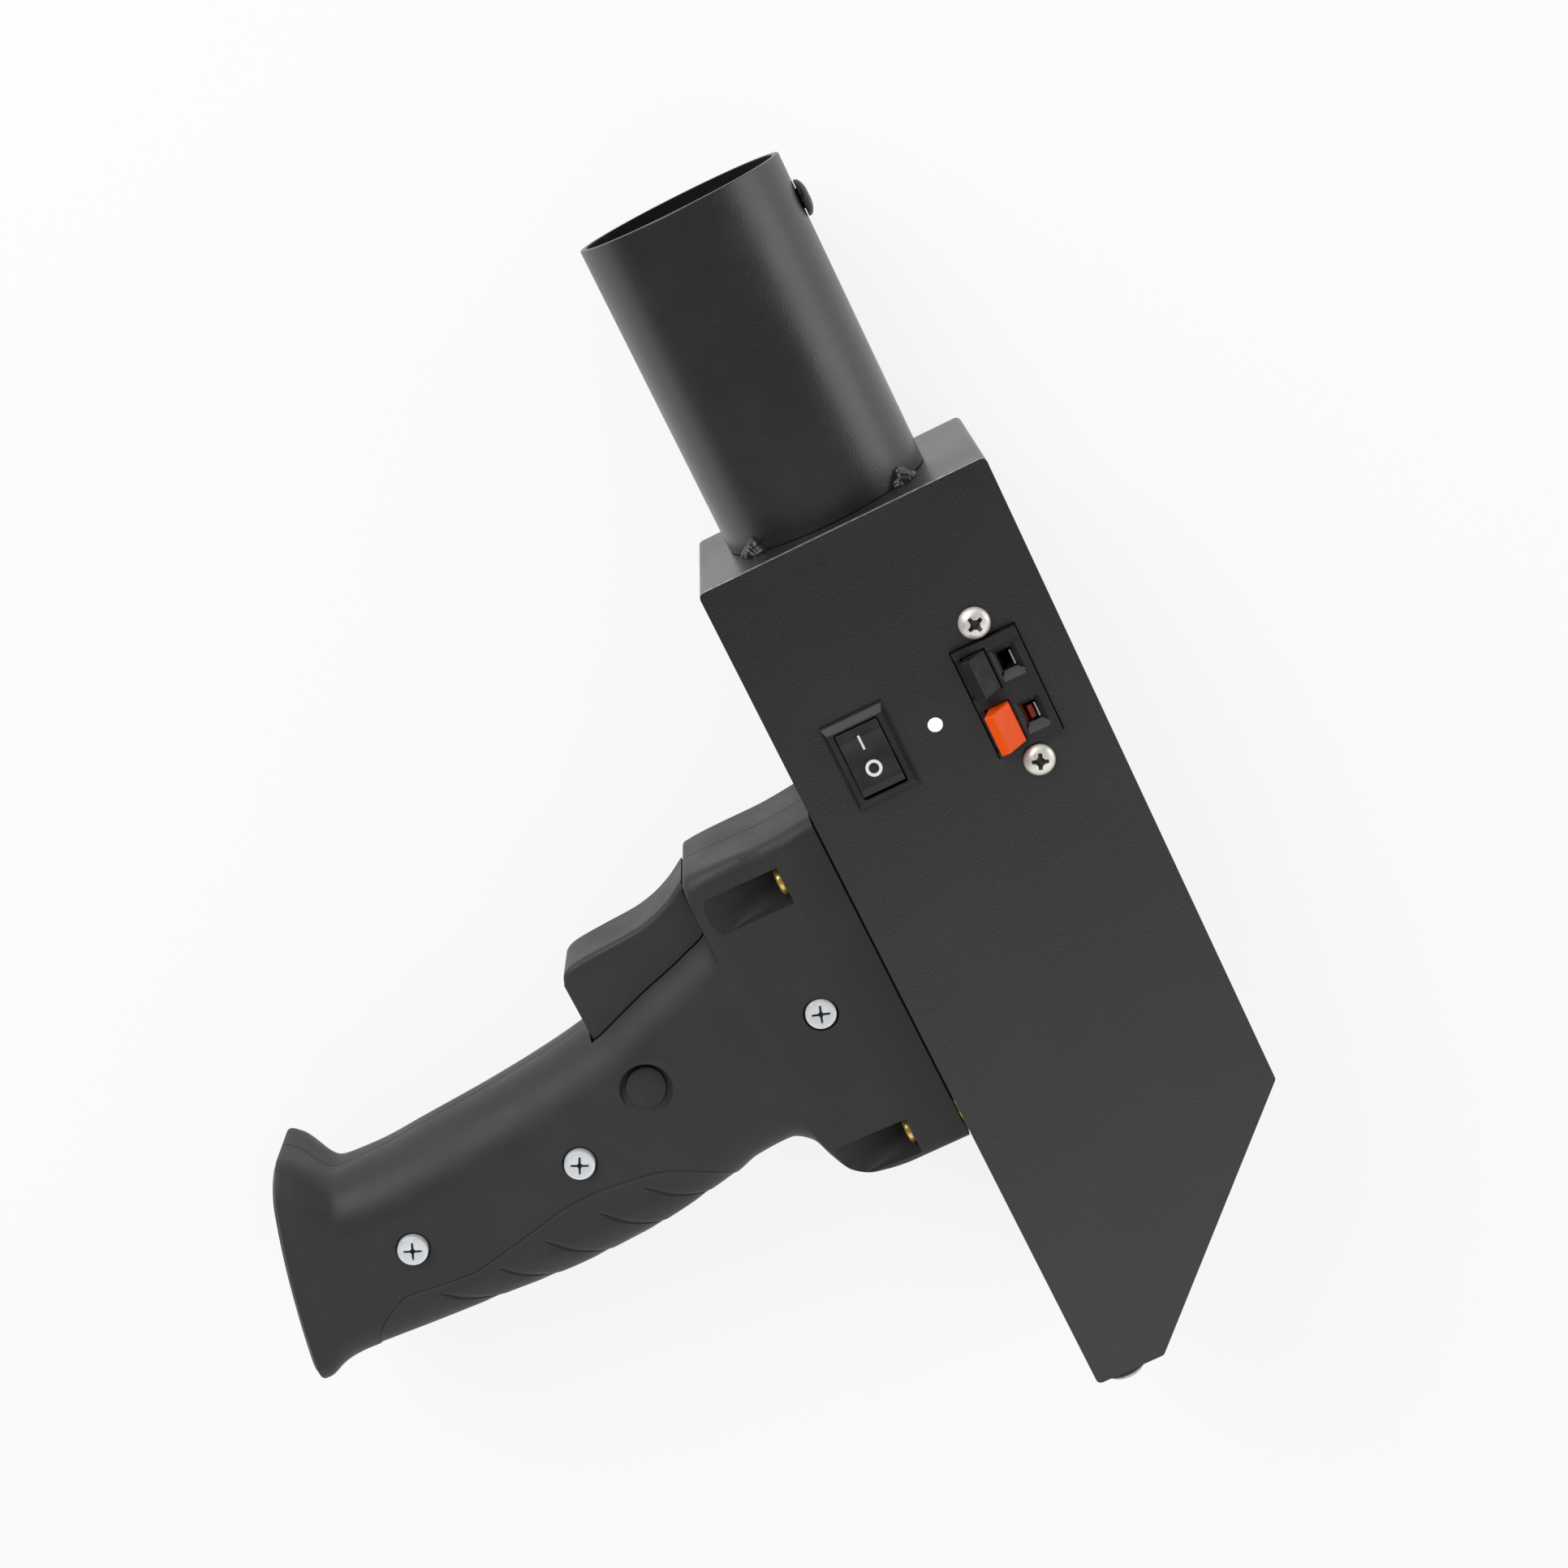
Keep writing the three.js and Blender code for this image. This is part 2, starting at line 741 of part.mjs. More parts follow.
addPart(
  "charging_socket_nut",
  hexNut(socketNutAcross, socketNutHeight, socketThread, towards.y, [
    socketAcross,
    buttY + sheet + seatGap,
    socketZ,
  ]),
  nickel,
);

// The launch tube with the four tack welds that hold it to the front plate
function launchTube() {
  const inner = tubeRadius - tubeWall;
  const wall = solid(
    new THREE.LatheGeometry(
      [
        new THREE.Vector2(inner, seatGap),
        new THREE.Vector2(tubeRadius, seatGap),
        new THREE.Vector2(tubeRadius, tubeLength),
        new THREE.Vector2(inner, tubeLength),
        new THREE.Vector2(inner, seatGap),
      ],
      tubeSides,
    ),
  );
  const beads = [1, -1].flatMap((side) =>
    [weldBeadAngle, Math.PI - weldBeadAngle].map((angle) => {
      const bead = new THREE.SphereGeometry(1, 12, 8);
      bead.scale(weldBeadWidth / 2, weldBeadRise, weldBeadHeight / 2);
      bead.rotateY(side * angle);
      bead.translate(side * Math.sin(angle) * tubeRadius, seatGap, Math.cos(angle) * tubeRadius);
      return solid(bead);
    }),
  );
  const reach = tubeDiameter;
  const below = block([-reach, -reach, -reach], [reach, seatGap, reach]);
  const bore = rod(inner, tubeLength, towards.y, [0, 0, 0], tubeSides);
  const clampHole = rod(clampThread / 2 + threadGap, tubeWall + 2 * cutOverrun, towards.x, [
    inner - cutOverrun,
    tubeLength - clampFromMuzzle,
    0,
  ]);
  const outside = join(wall, ...beads.map((bead) => cut(bead, bore)));
  return cut(outside, below, clampHole);
}
addPart("launch_tube", launchTube(), blackPaint);
addPart(
  "clamp_screw",
  screw(
    clampThread,
    clampHeadDiameter,
    clampHeadHeight,
    tubeWall + clampReach,
    towards.x,
    [tubeRadius + seatGap, tubeLength - clampFromMuzzle, 0],
  ),
  blackPaint,
);

// The rocker switch: bezel and body in one, with a paddle on two pins and two solder lugs
const paddlePivot = [rockerAcross, controlsY, halfThickness + bezelHeight - paddlePivotDepth];

function rockerBody() {
  const ring = (inset, z) => {
    const [w, l] = [bezelWidth / 2 - inset, bezelLength / 2 - inset];
    return [
      [w, -l],
      [w, l],
      [-w, l],
      [-w, -l],
    ].map(([x, y]) => new THREE.Vector3(rockerAcross + x, controlsY + y, z));
  };
  const foot = halfThickness + seatGap;
  const top = halfThickness + bezelHeight;
  const bezel = loft([ring(0, foot), ring(0, top - bezelChamfer), ring(bezelChamfer, top)]);
  const [w, l] = [bezelWidth / 2 - rockerBodyInset, bezelLength / 2 - rockerBodyInset];
  const bottom = halfThickness - rockerDepth;
  const body = block(
    [rockerAcross - w, controlsY - l, bottom],
    [rockerAcross + w, controlsY + l, foot + rootOverlap],
  );
  const window = block(
    [rockerAcross - rockerWindowWidth / 2, controlsY - rockerWindowLength / 2, bottom + gripWall],
    [
      rockerAcross + rockerWindowWidth / 2,
      controlsY + rockerWindowLength / 2,
      top + cutOverrun,
    ],
  );
  const socketLength = paddleWidth + 2 * paddlePinReach + 2 * runningGap;
  const sockets = rod(paddlePinRadius + threadGap, socketLength, towards.x, [
    rockerAcross - socketLength / 2,
    controlsY,
    paddlePivot[2],
  ]);
  return cut(join(bezel, body), window, sockets);
}
addPart("rocker_body", rockerBody(), glossPlastic);

function rockerPaddle() {
  const half = paddleLength / 2;
  const rise = half * Math.tan(paddleTilt);
  const footHalf = half / 2;
  const underEdge = paddleMiddleHeight / 4;
  const profile = [
    [0, paddleMiddleHeight - paddlePivotDepth],
    [half, paddleMiddleHeight - paddlePivotDepth + rise],
    [half, -underEdge],
    [footHalf, -paddleFoot],
    [-footHalf, -paddleFoot],
    [-half, -underEdge],
    [-half, paddleMiddleHeight - paddlePivotDepth + rise],
  ];
  const angle = -paddleTilt;
  const placed = profile.map(([y, z]) => [
    paddlePivot[1] + y * Math.cos(angle) - z * Math.sin(angle),
    paddlePivot[2] + y * Math.sin(angle) + z * Math.cos(angle),
  ]);
  const plate = prismX(placed, rockerAcross - paddleWidth / 2, rockerAcross + paddleWidth / 2);
  const pinLength = paddleWidth + 2 * paddlePinReach;
  const pins = rod(paddlePinRadius, pinLength, towards.x, [
    rockerAcross - pinLength / 2,
    paddlePivot[1],
    paddlePivot[2],
  ]);
  return join(plate, pins);
}
addPart("rocker_paddle", rockerPaddle(), glossPlastic);

const lugOffsets = [1, -1].map((side) => (side * rockerWindowLength) / 4);
const lugBottom = halfThickness - rockerDepth - seatGap - lugLength;
lugOffsets.forEach((offset, i) => {
  const y = controlsY + offset;
  const lug = block(
    [rockerAcross - lugWidth / 2, y - lugThickness / 2, lugBottom],
    [rockerAcross + lugWidth / 2, y + lugThickness / 2, lugBottom + lugLength],
  );
  addPart(`rocker_lug_${i + 1}`, lug, brass);
});

// The indicator lamp, flanged under the panel
function indicatorLamp() {
  const radius = lampDiameter / 2;
  const under = halfThickness - sheet - seatGap;
  const top = halfThickness + lampProud;
  const dome = arc([0, top - radius], radius, 0, 90, 4).slice(0, -1);
  return turned(
    [
      [0, under - lampDepth],
      [lampFlange / 2, under - lampDepth],
      [lampFlange / 2, under],
      [radius, under],
      ...dome,
      [0, top],
    ],
    towards.z,
    [lampAcross, controlsY, 0],
  );
}
addPart("indicator_lamp", indicatorLamp(), lampLens);

// The push terminal, held behind the panel by its ears
const terminalTop = halfThickness + terminalProud;
const leverPivot = [terminalAcross + leverPivotAcross, terminalTop - leverPivotDepth];
const terminalHalves = [1, -1].map((side) => controlsY + (side * terminalLength) / 4);
const portX = terminalAcross + portAcross;
const contactX = portX + portWidth / 2 - seatGap;
const terminalFloor = halfThickness - sheet - terminalDepth;
const tailBottom = terminalFloor - contactTail;

function terminalBody() {
  const [w, l] = [terminalWidth / 2, terminalLength / 2];
  const base = block(
    [terminalAcross - w, controlsY - l, terminalFloor],
    [terminalAcross + w, controlsY + l, terminalTop],
  );
  const ridge = block(
    [terminalAcross - w, controlsY + l - terminalRidge, terminalTop - rootOverlap],
    [terminalAcross + w, controlsY + l, terminalTop + terminalRidgeRise],
  );
  const earTop = halfThickness - sheet - seatGap;
  const ears = block(
    [terminalAcross - earWidth / 2, controlsY - earLength / 2, earTop - earThickness],
    [terminalAcross + earWidth / 2, controlsY + earLength / 2, earTop],
  );
  const above = terminalTop + terminalRidgeRise + cutOverrun;
  const pockets = terminalHalves.flatMap((y) => {
    const [low, high] = [y - leverWidth / 2 - runningGap, y + leverWidth / 2 + runningGap];
    const outer = terminalAcross - w;
    const pocketTop = terminalTop - partitionDepth;
    return [
      block(
        [outer + terminalWall, low, terminalFloor + terminalWall],
        [leverPivot[0] + leverPinRadius + runningGap, high, pocketTop],
      ),
      block(
        [outer + terminalWall, low, pocketTop - rootOverlap],
        [terminalAcross - leverInnerAcross + runningGap, high, above],
      ),
      block(
        [outer - cutOverrun, low, terminalTop - notchDepth],
        [outer + 2 * terminalWall, high, above],
      ),
    ];
  });
  const ports = terminalHalves.map((y) =>
    block(
      [portX - portWidth / 2, y - portLength / 2, terminalFloor + terminalWall],
      [portX + portWidth / 2, y + portLength / 2, terminalTop + cutOverrun],
    ),
  );
  const slotReach = contactWidth / 2 + seatGap;
  const tailSlots = terminalHalves.map((y) =>
    block(
      [contactX - contactThickness - seatGap, y - slotReach, terminalFloor - cutOverrun],
      [contactX + seatGap, y + slotReach, terminalFloor + terminalWall + rootOverlap],
    ),
  );
  const funnels = terminalHalves.map((y) => {
    const ring = (grow, z) =>
      [
        [1, -1],
        [1, 1],
        [-1, 1],
        [-1, -1],
      ].map(
        ([sx, sy]) =>
          new THREE.Vector3(
            portX + sx * (portWidth / 2 + grow),
            y + sy * (portLength / 2 + grow),
            z,
          ),
      );
    return loft([ring(0, terminalTop - portFunnel), ring(portFunnel, terminalTop)]);
  });
  const screwHoles = [1, -1].map((side) =>
    rod(terminalThread / 2 + runningGap, earThickness + 2 * cutOverrun, towards.z, [
      terminalAcross,
      controlsY + (side * terminalScrewSpacing) / 2,
      earTop - earThickness - cutOverrun,
    ]),
  );
  const hollows = [...pockets, ...ports, ...tailSlots, ...funnels, ...screwHoles];
  return cut(join(base, ridge, ears), ...hollows);
}
addPart("terminal_body", terminalBody(), blackPlastic);

// One push lever: a finger pad that rises away from the port, swinging on its toe
function terminalLever(y) {
  const [pivotX, pivotZ] = leverPivot;
  const toe = leverPinRadius;
  const inner = terminalAcross - leverInnerAcross;
  const crest = terminalAcross - leverCrestAcross;
  const tip = terminalAcross - leverTipAcross;
  const foot = terminalAcross - leverFootAcross;
  const profile = [
    [pivotX, pivotZ - toe],
    [pivotX + toe, pivotZ],
    [inner, pivotZ + 2 * toe],
    [inner, terminalTop + leverToeHeight],
    [crest, terminalTop + leverCrestHeight],
    [tip, terminalTop + leverTipHeight],
    [foot, terminalTop - toe],
    [crest + toe, pivotZ + toe],
  ];
  return prismY(profile, y - leverWidth / 2, y + leverWidth / 2);
}
["black", "red"].forEach((name, i) => {
  const y = terminalHalves[i];
  addPart(`terminal_lever_${name}`, terminalLever(y), i === 0 ? blackPlastic : redPlastic);
  const contact = block(
    [contactX - contactThickness, y - contactWidth / 2, tailBottom],
    [contactX, y + contactWidth / 2, terminalTop - portFunnel],
  );
  addPart(`terminal_contact_${name}`, contact, springSteel);
});

[1, -1].forEach((side, i) => {
  const y = controlsY + (side * terminalScrewSpacing) / 2;
  const under = halfThickness - sheet - seatGap - earThickness - seatGap;
  const length = sheet + 3 * seatGap + earThickness + terminalNutHeight + terminalThread / 2;
  addPart(
    `terminal_screw_${i + 1}`,
    screw(terminalThread, terminalHeadDiameter, terminalHeadHeight, length, towards.z, [
      terminalAcross,
      y,
      halfThickness + seatGap,
    ]),
    nickel,
  );
  addPart(
    `terminal_nut_${i + 1}`,
    hexNut(terminalNutAcross, terminalNutHeight, terminalThread, towards.z, [
      terminalAcross,
      y,
      under - terminalNutHeight,
    ]),
    nickel,
  );
});

// One cross-section of the grip between its front and rear points, drawn in by an inset
function gripRing(shares, inset) {
  const [frontDrop, frontBack, rearDrop, rearBack, half, frontRound, rearRound] = shares;
  const front = new THREE.Vector2(gripTopX - frontDrop * gripDrop, -headSetback - frontBack * headLength);
  const rear = new THREE.Vector2(gripTopX - rearDrop * gripDrop, -headSetback - rearBack * headLength);
  const way = rear.clone().sub(front).normalize();
  const length = front.distanceTo(rear) - 2 * inset;
  const start = front.clone().addScaledVector(way, inset);
  const halfWidth = half * gripThickness - inset;
  const smallest = gripWall / 4;
  const frontRadius = Math.max(Math.min(frontRound * gripThickness, half * gripThickness) - inset, smallest);
  const rearRadius = Math.max(rearRound * gripThickness - inset, smallest);
  const corners = [
    [frontRadius, halfWidth - frontRadius, frontRadius, 90, 180],
    [frontRadius, -halfWidth + frontRadius, frontRadius, 180, 270],
    [length - rearRadius, -halfWidth + rearRadius, rearRadius, 270, 360],
    [length - rearRadius, halfWidth - rearRadius, rearRadius, 0, 90],
  ];
  return corners.flatMap(([u, v, radius, from, to]) =>
    arc([u, v], radius, from, to, gripCornerSteps).map(([along, z]) => {
      const point = start.clone().addScaledVector(way, along);
      return new THREE.Vector3(point.x, point.y, z);
    }),
  );
}

// The whole grip as a closed form, then hollowed, channelled and split into two halves
function gripForm() {
  const outer = loft(gripStationShares.map((shares) => gripRing(shares, 0)));
  const last = gripStationShares.at(-1);
  const innerShares = gripStationShares.slice(cavityFirstStation, -1);
  const lifted = [...gripStationShares[1]];
  lifted[0] = flangeThickness / gripDrop;
  lifted[2] = flangeThickness / gripDrop;
  const floorLift = gripWall / gripDrop;
  const floor = [...last];
  floor[0] -= floorLift;
  floor[2] -= floorLift;
  const rings = [lifted, ...innerShares]
    .filter((shares) => shares === lifted || shares[2] < floor[2] - floorLift / 2)
    .concat([floor])
    .map((shares) => gripRing(shares, gripWall));
  const cavity = loft(rings);
  return { outer, cavity };
}

const slotHalf = triggerThickness / 2 + runningGap;

// A round-bottomed channel from a flange screw down the head, shallower as it goes, open outwards
function troughForm(y, z, grow) {
  const side = Math.sign(z);
  const radius = troughRadius + grow;
  const slope = troughRise / troughLength;
  const length = troughLength + grow;
  const brink = gripThickness + troughRise;
  const ring = (along) => {
    const axis = Math.abs(z) + slope * along;
    const bowl = arc([y, axis], radius, 180, 360, troughSteps);
    return [...bowl, [y + radius, brink], [y - radius, brink]].map(
      ([across, height]) =>
        new THREE.Vector3(gripTopX - flangeThickness - along, across, side * height),
    );
  };
  return loft([ring(0), ring(length)]);
}

// What stays solid inside the shell: screw bosses, trough walls, switch ribs and recess backing
function gripInside() {
  const reach = gripThickness / 2;
  const bosses = gripScrewPlaces.map(({ dropShare, backShare }) =>
    rod(bossDiameter / 2, 2 * reach, towards.z, [...onGrip(dropShare, backShare), -reach]),
  );
  const pads = flangeScrewPlaces.map(([y, z]) => troughForm(y, z, troughPad));
  const ribLow = switchThickness / 2 + runningGap;
  const switchTopX = sliderX + switchHeight / 2;
  const ribs = switchRibShares.flatMap((share) =>
    [1, -1].map((side) => {
      const x = switchTopX - switchHeight * share;
      const [a, b] = [side * ribLow, side * reach];
      return block(
        [x - switchRibThickness / 2, switchFrontY - switchLength, Math.min(a, b)],
        [x + switchRibThickness / 2, switchFrontY - switchClearance, Math.max(a, b)],
      );
    }),
  );
  const backing = rod(recessDiameter / 2 + gripWall, gripWall, towards.z, [
    ...onGrip(recessDropShare, recessBackShare),
    reach - recessDepth - 2 * gripWall,
  ]);
  return join(...bosses, ...pads, ...ribs, backing);
}

function gripFaceHeight(i) {
  return gripThickness * gripFaceShares[i];
}

// Everything cut from outside: troughs, flange holes, wire way, trigger slot, screw seats, recess
function gripCuts() {
  const troughs = flangeScrewPlaces.flatMap(([y, z]) => [
    troughForm(y, z, 0),
    rod(flangeThread / 2 + runningGap, flangeThickness + 2 * cutOverrun, towards.x, [
      gripTopX - flangeThickness - cutOverrun,
      y,
      z,
    ]),
  ]);
  const wireWay = rod(wireHoleDiameter / 2, flangeThickness + 2 * cutOverrun, towards.x, [
    gripTopX - flangeThickness - cutOverrun,
    -wireHoleSetback,
    0,
  ]);
  const slot = block(
    [triggerTopX - triggerHeight - runningGap, triggerRearY - triggerTravel, -slotHalf],
    [triggerTopX + runningGap, -triggerSetback + cutOverrun, slotHalf],
  );
  const seats = gripScrewPlaces.flatMap(({ dropShare, backShare, seatDepth }, i) => {
    const top = gripFaceHeight(i) - seatDepth;
    const [x, y] = onGrip(dropShare, backShare);
    return [
      rod(gripSeatDiameter / 2, gripThickness, towards.z, [x, y, top]),
      rod(gripThread / 2 + runningGap, top, towards.z, [x, y, 0]),
      rod(gripThread / 2 + threadGap, gripScrewLength - top, towards.z, [
        x,
        y,
        top - gripScrewLength,
      ]),
    ];
  });
  const recessFace = gripThickness * recessFaceShare;
  const recessPlace = [...onGrip(recessDropShare, recessBackShare), recessFace - recessDepth];
  const recess = cut(
    rod(recessDiameter / 2, gripThickness, towards.z, recessPlace, 32),
    rod(recessDiscDiameter / 2, recessDepth - recessDiscDrop, towards.z, recessPlace, 32),
  );
  return [...troughs, wireWay, slot, ...seats, recess];
}

const { outer: gripOuter, cavity: gripCavity } = gripForm();
const gripWhole = cut(gripOuter, cut(gripCavity, gripInside()), ...gripCuts());
const bigReach = gripDrop + headSetback + headLength + housingBottom;
const nearSide = block([-bigReach, -bigReach, partingGap / 2], [bigReach, bigReach, gripThickness]);
const farSide = block([-bigReach, -bigReach, -gripThickness], [bigReach, bigReach, -partingGap / 2]);
addPart("grip_half_near", gripWhole.intersect(nearSide), blackPlastic);
addPart("grip_half_far", gripWhole.intersect(farSide), blackPlastic);

gripScrewPlaces.forEach(({ dropShare, backShare, seatDepth }, i) => {
  const seat = gripFaceHeight(i) - seatDepth + seatGap;
  const length = gripScrewLength - 2 * seatGap;
  addPart(
    `grip_screw_${i + 1}`,
    screw(gripThread, gripHeadDiameter, gripHeadHeight, length, towards.z, [
      ...onGrip(dropShare, backShare),
      seat,
    ]),
    zinc,
  );
});

flangeScrewPlaces.forEach(([y, z], i) => {
  const length = flangeThickness + sheet + 4 * seatGap + flangeNutHeight + flangeThread / 2;
  addPart(
    `flange_screw_${i + 1}`,
    screw(flangeThread, flangeHeadDiameter, flangeHeadHeight, length, towards.backX, [
      gripTopX - flangeThickness - seatGap,
      y,
      z,
    ]),
    yellowZinc,
  );
  addPart(
    `flange_nut_${i + 1}`,
    hexNut(flangeNutAcross, flangeNutHeight, flangeThread, towards.x, [
      -housingBottom + sheet + seatGap,
      y,
      z,
    ]),
    yellowZinc,
  );
});

// The trigger: a rounded finger piece with a blind pocket at the back for its spring
function trigger() {
  const front = triggerFrontShares.map(
    ([down, back]) =>
      new THREE.Vector2(triggerTopX - down * triggerHeight, -triggerSetback - back * triggerDepth),
  );
  const curve = new THREE.SplineCurve(front).getPoints(3 * front.length);
  const side = [
    ...curve,
    new THREE.Vector2(triggerTopX - triggerHeight, triggerRearY),
    new THREE.Vector2(triggerTopX, triggerRearY),
  ];
  const body = softSlab(side, -triggerThickness / 2, triggerThickness / 2, triggerEdge, 3);
  const pocket = rod(triggerPocketDiameter / 2, triggerPocketDepth + cutOverrun, towards.y, [
    sliderX,
    triggerRearY - cutOverrun,
    0,
  ]);
  const seat = rod(
    sliderDiameter / 2 + seatGap,
    triggerPocketDepth + sliderSeatDepth,
    towards.y,
    [sliderX, triggerRearY, 0],
  );
  return cut(body, pocket, seat);
}
addPart("trigger", trigger(), blackPlastic);

const springTop = triggerRearY + triggerPocketDepth - seatGap;
const springBottom = switchFrontY + seatGap;
const sliderFront = triggerRearY + triggerPocketDepth + sliderSeatDepth - seatGap;
const sliderBack = switchFrontY - switchClearance - triggerTravel / 2;
addPart(
  "switch_slider",
  rod(sliderDiameter / 2, sliderFront - sliderBack, towards.y, [sliderX, sliderBack, 0]),
  glossPlastic,
);

// The return spring: one unbroken coil whose least gap to itself is measured and printed
function returnSpring() {
  const length = springTop - springBottom - springWire;
  const pitch = length / springTurns;
  const steps = springTurns * springStepsPerTurn;
  const middle = (share) => {
    const angle = 2 * Math.PI * springTurns * share;
    return new THREE.Vector3(
      sliderX + (springMean / 2) * Math.cos(angle),
      springBottom + springWire / 2 + length * share,
      (springMean / 2) * Math.sin(angle),
    );
  };
  const rings = Array.from({ length: steps + 1 }, (_, i) => {
    const share = i / steps;
    const angle = 2 * Math.PI * springTurns * share;
    const out = new THREE.Vector3(Math.cos(angle), 0, Math.sin(angle));
    const rise = pitch / (2 * Math.PI);
    const way = new THREE.Vector3(
      (-springMean / 2) * Math.sin(angle),
      rise,
      (springMean / 2) * Math.cos(angle),
    ).normalize();
    const across = new THREE.Vector3().crossVectors(way, out);
    return Array.from({ length: springSides }, (_side, k) => {
      const turn = (2 * Math.PI * k) / springSides;
      return middle(share)
        .addScaledVector(out, (springWire / 2) * Math.cos(turn))
        .addScaledVector(across, (springWire / 2) * Math.sin(turn));
    });
  });
  let least = Infinity;
  for (let i = 0; i <= steps; i += 1) {
    for (let k = i + springStepsPerTurn / 2; k <= steps; k += 1) {
      least = Math.min(least, middle(i / steps).distanceTo(middle(k / steps)) - springWire);
    }
  }
  console.log(`return spring: least gap to itself ${least.toFixed(2)} mm`);
  return loft(rings);
}
addPart("return_spring", returnSpring(), springSteel);

// The trigger switch, with a blind bore for the slider and two solder tabs on top
const switchTopX = sliderX + switchHeight / 2;
function triggerSwitch() {
  const body = block(
    [switchTopX - switchHeight, switchFrontY - switchLength, -switchThickness / 2],
    [switchTopX, switchFrontY, switchThickness / 2],
  );
  const boreLength = switchLength - 2 * switchClearance;
  const bore = rod(sliderDiameter / 2 + runningGap, boreLength + cutOverrun, towards.y, [
    sliderX,
    switchFrontY - boreLength,
    0,
  ]);
  return cut(body, bore);
}
addPart("trigger_switch", triggerSwitch(), glossPlastic);
const tabOffsets = [1, -1].map((side) => (side * switchLength) / 4);
tabOffsets.forEach((offset, i) => {
  const y = switchFrontY - switchLength / 2 + offset;
  const tab = block(
    [switchTopX + seatGap, y - switchTabThickness / 2, -switchTabWidth / 2],
    [switchTopX + seatGap + switchTabHeight, y + switchTabThickness / 2, switchTabWidth / 2],
  );
  addPart(`switch_tab_${i + 1}`, tab, brass);
});

// The battery pack, lying along the plain panel in its spring clip
const batteryFloor = -halfThickness + sheet + seatGap + clipSheet + seatGap;
const batteryMiddleZ = batteryFloor + cellDiameter / 2;
const batteryHalfWidth = cellDiameter;
function batteryPack() {
  const ring = (inset, y) => {
    const radius = cellDiameter / 2 - inset;
    const ends = [
      [cellDiameter / 2, 270],
      [-cellDiameter / 2, 90],
    ];
    return ends.flatMap(([x, from]) =>
      arc([batteryAcross + x, batteryMiddleZ], radius, from, from + 180, 8).map(
        ([px, pz]) => new THREE.Vector3(px, y, pz),
      ),
    );
  };
  const [front, back] = [-batterySetback, -batterySetback - batteryLength];
  return loft([
    ring(sleeveEdge, back),
    ring(0, back + sleeveEdge),
    ring(0, front - sleeveEdge),
    ring(sleeveEdge, front),
  ]);
}
addPart("battery_pack", batteryPack(), sleeve);

function batteryClip() {
  const innerHalf = batteryHalfWidth + seatGap;
  const outerHalf = innerHalf + clipSheet;
  const floor = -halfThickness + sheet + seatGap;
  const top = floor + clipSheet + clipArm;
  const section = [
    [batteryAcross - outerHalf, floor],
    [batteryAcross + outerHalf, floor],
    [batteryAcross + outerHalf, top],
    [batteryAcross + innerHalf, top],
    [batteryAcross + innerHalf, floor + clipSheet],
    [batteryAcross - innerHalf, floor + clipSheet],
    [batteryAcross - innerHalf, top],
    [batteryAcross - outerHalf, top],
  ];
  const middle = -batterySetback - batteryLength / 2;
  return prismY(section, middle - clipLength / 2, middle + clipLength / 2);
}
addPart("battery_clip", batteryClip(), springSteel);

// A wire along a smooth path through places given in order
function wire(places) {
  const path = new THREE.CatmullRomCurve3(places.map((place) => new THREE.Vector3(...place)));
  const steps = Math.round(path.getLength() / wireStep);
  const section = new THREE.Shape(
    Array.from({ length: wireSides }, (_, i) => {
      const angle = (2 * Math.PI * i) / wireSides;
      return new THREE.Vector2(
        (wireDiameter / 2) * Math.cos(angle),
        (wireDiameter / 2) * Math.sin(angle),
      );
    }),
  );
  return solid(
    new THREE.ExtrudeGeometry(section, { steps, extrudePath: path, bevelEnabled: false }),
  );
}

// Wire ends: under the rocker's lugs and the terminal's tails, on the switch tabs, at the battery
// and at the charging socket. The two trigger wires share the hole under the housing.
const lugY = lugOffsets.map((offset) => controlsY + offset);
const lugEndZ = lugBottom - runningGap;
const tailEndZ = tailBottom - runningGap;
const tailX = contactX - contactThickness / 2;
const tabEndX = switchTopX + seatGap + switchTabHeight + runningGap;
const tabY = tabOffsets.map((offset) => switchFrontY - switchLength / 2 + offset);
const batteryFrontY = -batterySetback + runningGap;
const batteryBackY = -batterySetback - batteryLength - runningGap;
const socketEndY = buttY - seatGap + socketLength + runningGap;
const holeY = -wireHoleSetback;
const sag = 2 * wireDiameter;

// The [x, y] of a bend between two [x, y] ends
const bendAt = (from, to, shares) => shares.map((share, i) => from[i] + (to[i] - from[i]) * share);
const cellX = [-1, 1].map((side) => batteryAcross + (side * cellDiameter) / 2);

addPart(
  "battery_wire_red",
  wire([
    [rockerAcross, lugY[0], lugEndZ],
    [rockerAcross, lugY[0] - sag / 2, lugEndZ - sag],
    [...bendAt([rockerAcross, lugY[0]], [cellX[0], batteryFrontY], batteryRedShares), batteryMiddleZ / 2],
    [cellX[0], batteryFrontY + sag, batteryMiddleZ],
    [cellX[0], batteryFrontY, batteryMiddleZ],
  ]),
  redWire,
);
addPart(
  "battery_wire_black",
  wire([
    [tailX, terminalHalves[0], tailEndZ],
    [tailX, terminalHalves[0] - sag / 2, tailEndZ - sag],
    [
      ...bendAt([tailX, terminalHalves[0]], [cellX[1], batteryFrontY], batteryBlackShares),
      batteryMiddleZ / 2,
    ],
    [cellX[1], batteryFrontY + sag, batteryMiddleZ],
    [cellX[1], batteryFrontY, batteryMiddleZ],
  ]),
  glossPlastic,
);
